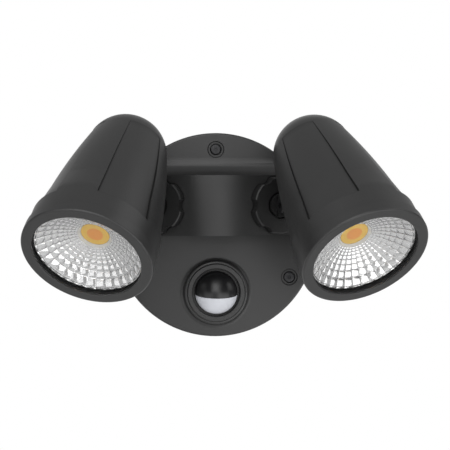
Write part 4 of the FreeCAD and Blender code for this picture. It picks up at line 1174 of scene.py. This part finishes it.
@dataclass
class Studio:
    """Pale floor, white surroundings and soft lamps.

    Attributes:
        floor_z: Height of the floor in metres.
        floor_half: Half the side of the floor in metres.
        floor_colour: Colour of the floor.
        fade: Distances in metres where the floor starts to fade to white, and is all white.
        fill: Brightness of the surroundings in front of the light.
        flank: Share of that brightness level with the light and to its sides.
        flank_sides: Sideways part of a direction where the flank starts and is full.
        flank_level: Upward part of a direction where the flank starts and is full.
        behind: Backward part of a direction where the white starts and is full.
        lamps: The soft lamps.
        aim: Point in metres at which the lamps are aimed.
    """

    floor_z: float = -1.7
    floor_half: float = 12.0
    floor_colour: str = "#f4f4f4"
    fade: tuple[float, float] = (1.5, 5.0)
    fill: float = 0.5
    flank: float = 0.2
    flank_sides: tuple[float, float] = (0.3, 0.6)
    flank_level: tuple[float, float] = (0.45, 0.1)
    behind: tuple[float, float] = (0.7, 1.0)
    lamps: tuple[SoftBox, ...] = (
        SoftBox("upper_softbox", (-0.45, -1.67, 1.0), (1.6, 1.6), 18.0),
        SoftBox("lower_softbox", (1.1, -1.4, -0.8), (2.2, 1.6), 17.0),
        SoftBox("front_softbox", (0.3, -1.95, 0.0), (0.5, 1.4), 2.2),
        SoftBox("left_softbox", (-1.41, -1.41, -0.1), (1.8, 2.2), 12.0),
        SoftBox("right_softbox", (1.67, -0.45, 1.0), (1.6, 1.6), 6.0),
    )
    aim: tuple[float, float, float] = (0.0, -0.05, 0.0)

    def white_share(self, tree: Tree, depth: Socket, direct: Socket) -> Socket:
        """Say how far a ray sees the white backdrop.

        Args:
            tree: Node tree of the floor or the world.
            depth: Depth behind the wall plane, or the ray's direction that way.
            direct: Share for the rays that come straight from the camera.

        Returns:
            The share, also for reflected and refracted rays that go behind the light.
        """
        rays = add_node(tree, "LightPath")
        bounced = calculate(
            tree, "MAXIMUM", rays.outputs["Is Glossy Ray"], rays.outputs["Is Transmission Ray"]
        )
        share = calculate(tree, "MULTIPLY", bounced, ramp(tree, depth, self.behind))
        return calculate(tree, "MAXIMUM", direct, share)

    def floor_material(self) -> bpy.types.Material:
        """Make a pale floor that keeps the light's shadow and fades to the white backdrop.

        Returns:
            The material.
        """
        material = bpy.data.materials.new("white_studio_floor")
        tree = empty_tree(material)
        plain = add_node(tree, "BsdfDiffuse", values={"Color": linear(self.floor_colour)})
        white = add_node(tree, "Emission", values={"Color": WHITE, "Strength": FULL})
        place = add_node(tree, "NewGeometry")
        parts = add_node(tree, "SeparateXYZ", links={"Vector": place.outputs["Position"]})
        reach = add_node(
            tree, "VectorMath", settings={"operation": "LENGTH"},
            links={0: place.outputs["Position"]},
        )
        far = ramp(tree, reach.outputs["Value"], self.fade)
        rays = add_node(tree, "LightPath")
        direct = calculate(tree, "MULTIPLY", rays.outputs["Is Camera Ray"], far)
        share = self.white_share(tree, parts.outputs["Y"], direct)
        mixed = add_node(
            tree, "MixShader",
            links={
                SHADER_FACTOR: share,
                SHADER_A: plain.outputs["BSDF"],
                SHADER_B: white.outputs["Emission"],
            },
        )
        add_node(tree, "OutputMaterial", links={"Surface": mixed.outputs["Shader"]})
        return material

    def add_floor(self) -> None:
        """Add the floor far below the light."""
        bpy.ops.mesh.primitive_plane_add(size=1.0)
        floor = bpy.context.active_object
        floor.name = "studio_floor"
        size = 2 * self.floor_half
        floor.data.transform(
            Matrix.Translation((0, 0, self.floor_z)) @ Matrix.Diagonal((size, size, 1, 1))
        )
        floor.data.materials.append(self.floor_material())

    def soft_room(self, tree: Tree, parts: bpy.types.Node) -> Socket:
        """Mix the studio in front: pale, and dim on the flanks at the light's level.

        Args:
            tree: Node tree of the world.
            parts: Node that splits the direction into X, Y and Z.

        Returns:
            The brightness.
        """
        shares = []
        for part, span in (("X", self.flank_sides), ("Z", self.flank_level)):
            size = add_node(
                tree, "Math", settings={"operation": "ABSOLUTE"},
                links={0: parts.outputs[part]},
            )
            shares.append(ramp(tree, size.outputs["Value"], span))
        level = add_node(
            tree, "MapRange", values={"To Min": self.fill, "To Max": self.fill * self.flank},
            links={"Value": calculate(tree, "MULTIPLY", *shares)},
        )
        return level.outputs["Result"]

    def add_surroundings(self) -> None:
        """Put white behind the light, and a soft pale studio in front of it."""
        world = bpy.data.worlds.new("studio_surroundings")
        bpy.context.scene.world = world
        tree = empty_tree(world)
        place = add_node(tree, "TexCoord")
        parts = add_node(tree, "SeparateXYZ", links={"Vector": place.outputs["Generated"]})
        rays = add_node(tree, "LightPath")
        share = self.white_share(tree, parts.outputs["Y"], rays.outputs["Is Camera Ray"])
        strength = add_node(
            tree, "MapRange", links={"Value": share, "To Min": self.soft_room(tree, parts)}
        )
        sky = add_node(
            tree, "Background", values={"Color": WHITE},
            links={"Strength": strength.outputs["Result"]},
        )
        add_node(tree, "OutputWorld", links={"Surface": sky.outputs["Background"]})

    def add_lamp(self, box: SoftBox) -> None:
        """Add a soft lamp that is aimed at the light.

        Args:
            box: The lamp.
        """
        lamp = bpy.data.lights.new(box.name, "AREA")
        lamp.shape = "RECTANGLE"
        lamp.size, lamp.size_y = box.size
        lamp.energy = box.watts
        item = bpy.data.objects.new(box.name, lamp)
        item.location = Vector(box.place)
        aim = Vector(self.aim) - item.location
        item.rotation_euler = aim.to_track_quat("-Z", "Y").to_euler()
        bpy.context.scene.collection.objects.link(item)

    def build(self) -> None:
        """Add the floor, the surroundings and the lamps."""
        self.add_floor()
        self.add_surroundings()
        for box in self.lamps:
            self.add_lamp(box)
        LOG.info("studio: floor, surroundings and %d lamps", len(self.lamps))


@dataclass
class ShopCamera:
    """Camera at the product picture's viewing angle.

    Attributes:
        azimuth_deg: Turn to the side; negative stands to the left.
        elevation_deg: Height above the horizon.
        distance_m: Distance from the target.
        target_m: Point at the middle of the picture.
        lens_mm: Focal length.
        sensor_mm: Width of the sensor.
        near_m: Nearest distance that is drawn.
    """

    azimuth_deg: float = -4.17
    elevation_deg: float = 1.5
    distance_m: float = 1.1
    target_m: tuple[float, float, float] = (0.0076, 0.0, 0.0063)
    lens_mm: float = 125.8
    sensor_mm: float = 36.0
    near_m: float = 0.01

    def build(self) -> None:
        """Add the camera and make it the scene's own."""
        turn = math.radians(self.azimuth_deg)
        rise = math.radians(self.elevation_deg)
        level = math.cos(rise)
        back = Vector((math.sin(turn) * level, -math.cos(turn) * level, math.sin(rise)))
        data = bpy.data.cameras.new("shop_camera")
        data.lens = self.lens_mm
        data.sensor_width = self.sensor_mm
        data.clip_start = self.near_m
        item = bpy.data.objects.new("shop_camera", data)
        item.location = Vector(self.target_m) + back * self.distance_m
        item.rotation_euler = (-back).to_track_quat("-Z", "Y").to_euler()
        bpy.context.scene.collection.objects.link(item)
        bpy.context.scene.camera = item
        LOG.info("camera: azimuth %.2f, elevation %.2f", self.azimuth_deg, self.elevation_deg)


def main() -> None:
    """Build the classes in order."""
    logging.basicConfig(level=logging.INFO, format="%(name)s %(message)s")
    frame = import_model()
    shelf = FinishShelf()
    groups: list[Assembly] = [
        Canopy(frame, shelf), CounterboreShadeRings(frame, shelf), MotionSensor(frame, shelf)
    ]
    for side in ("left", "right"):
        groups.append(Knuckle(frame, shelf, side=side))
        groups.append(LampHead(frame, shelf, side=side))
    for group in groups:
        group.dress()
    Studio().build()
    ShopCamera().build()
    bpy.context.scene.view_settings.view_transform = "Standard"


if __name__ == "__main__":
    main()
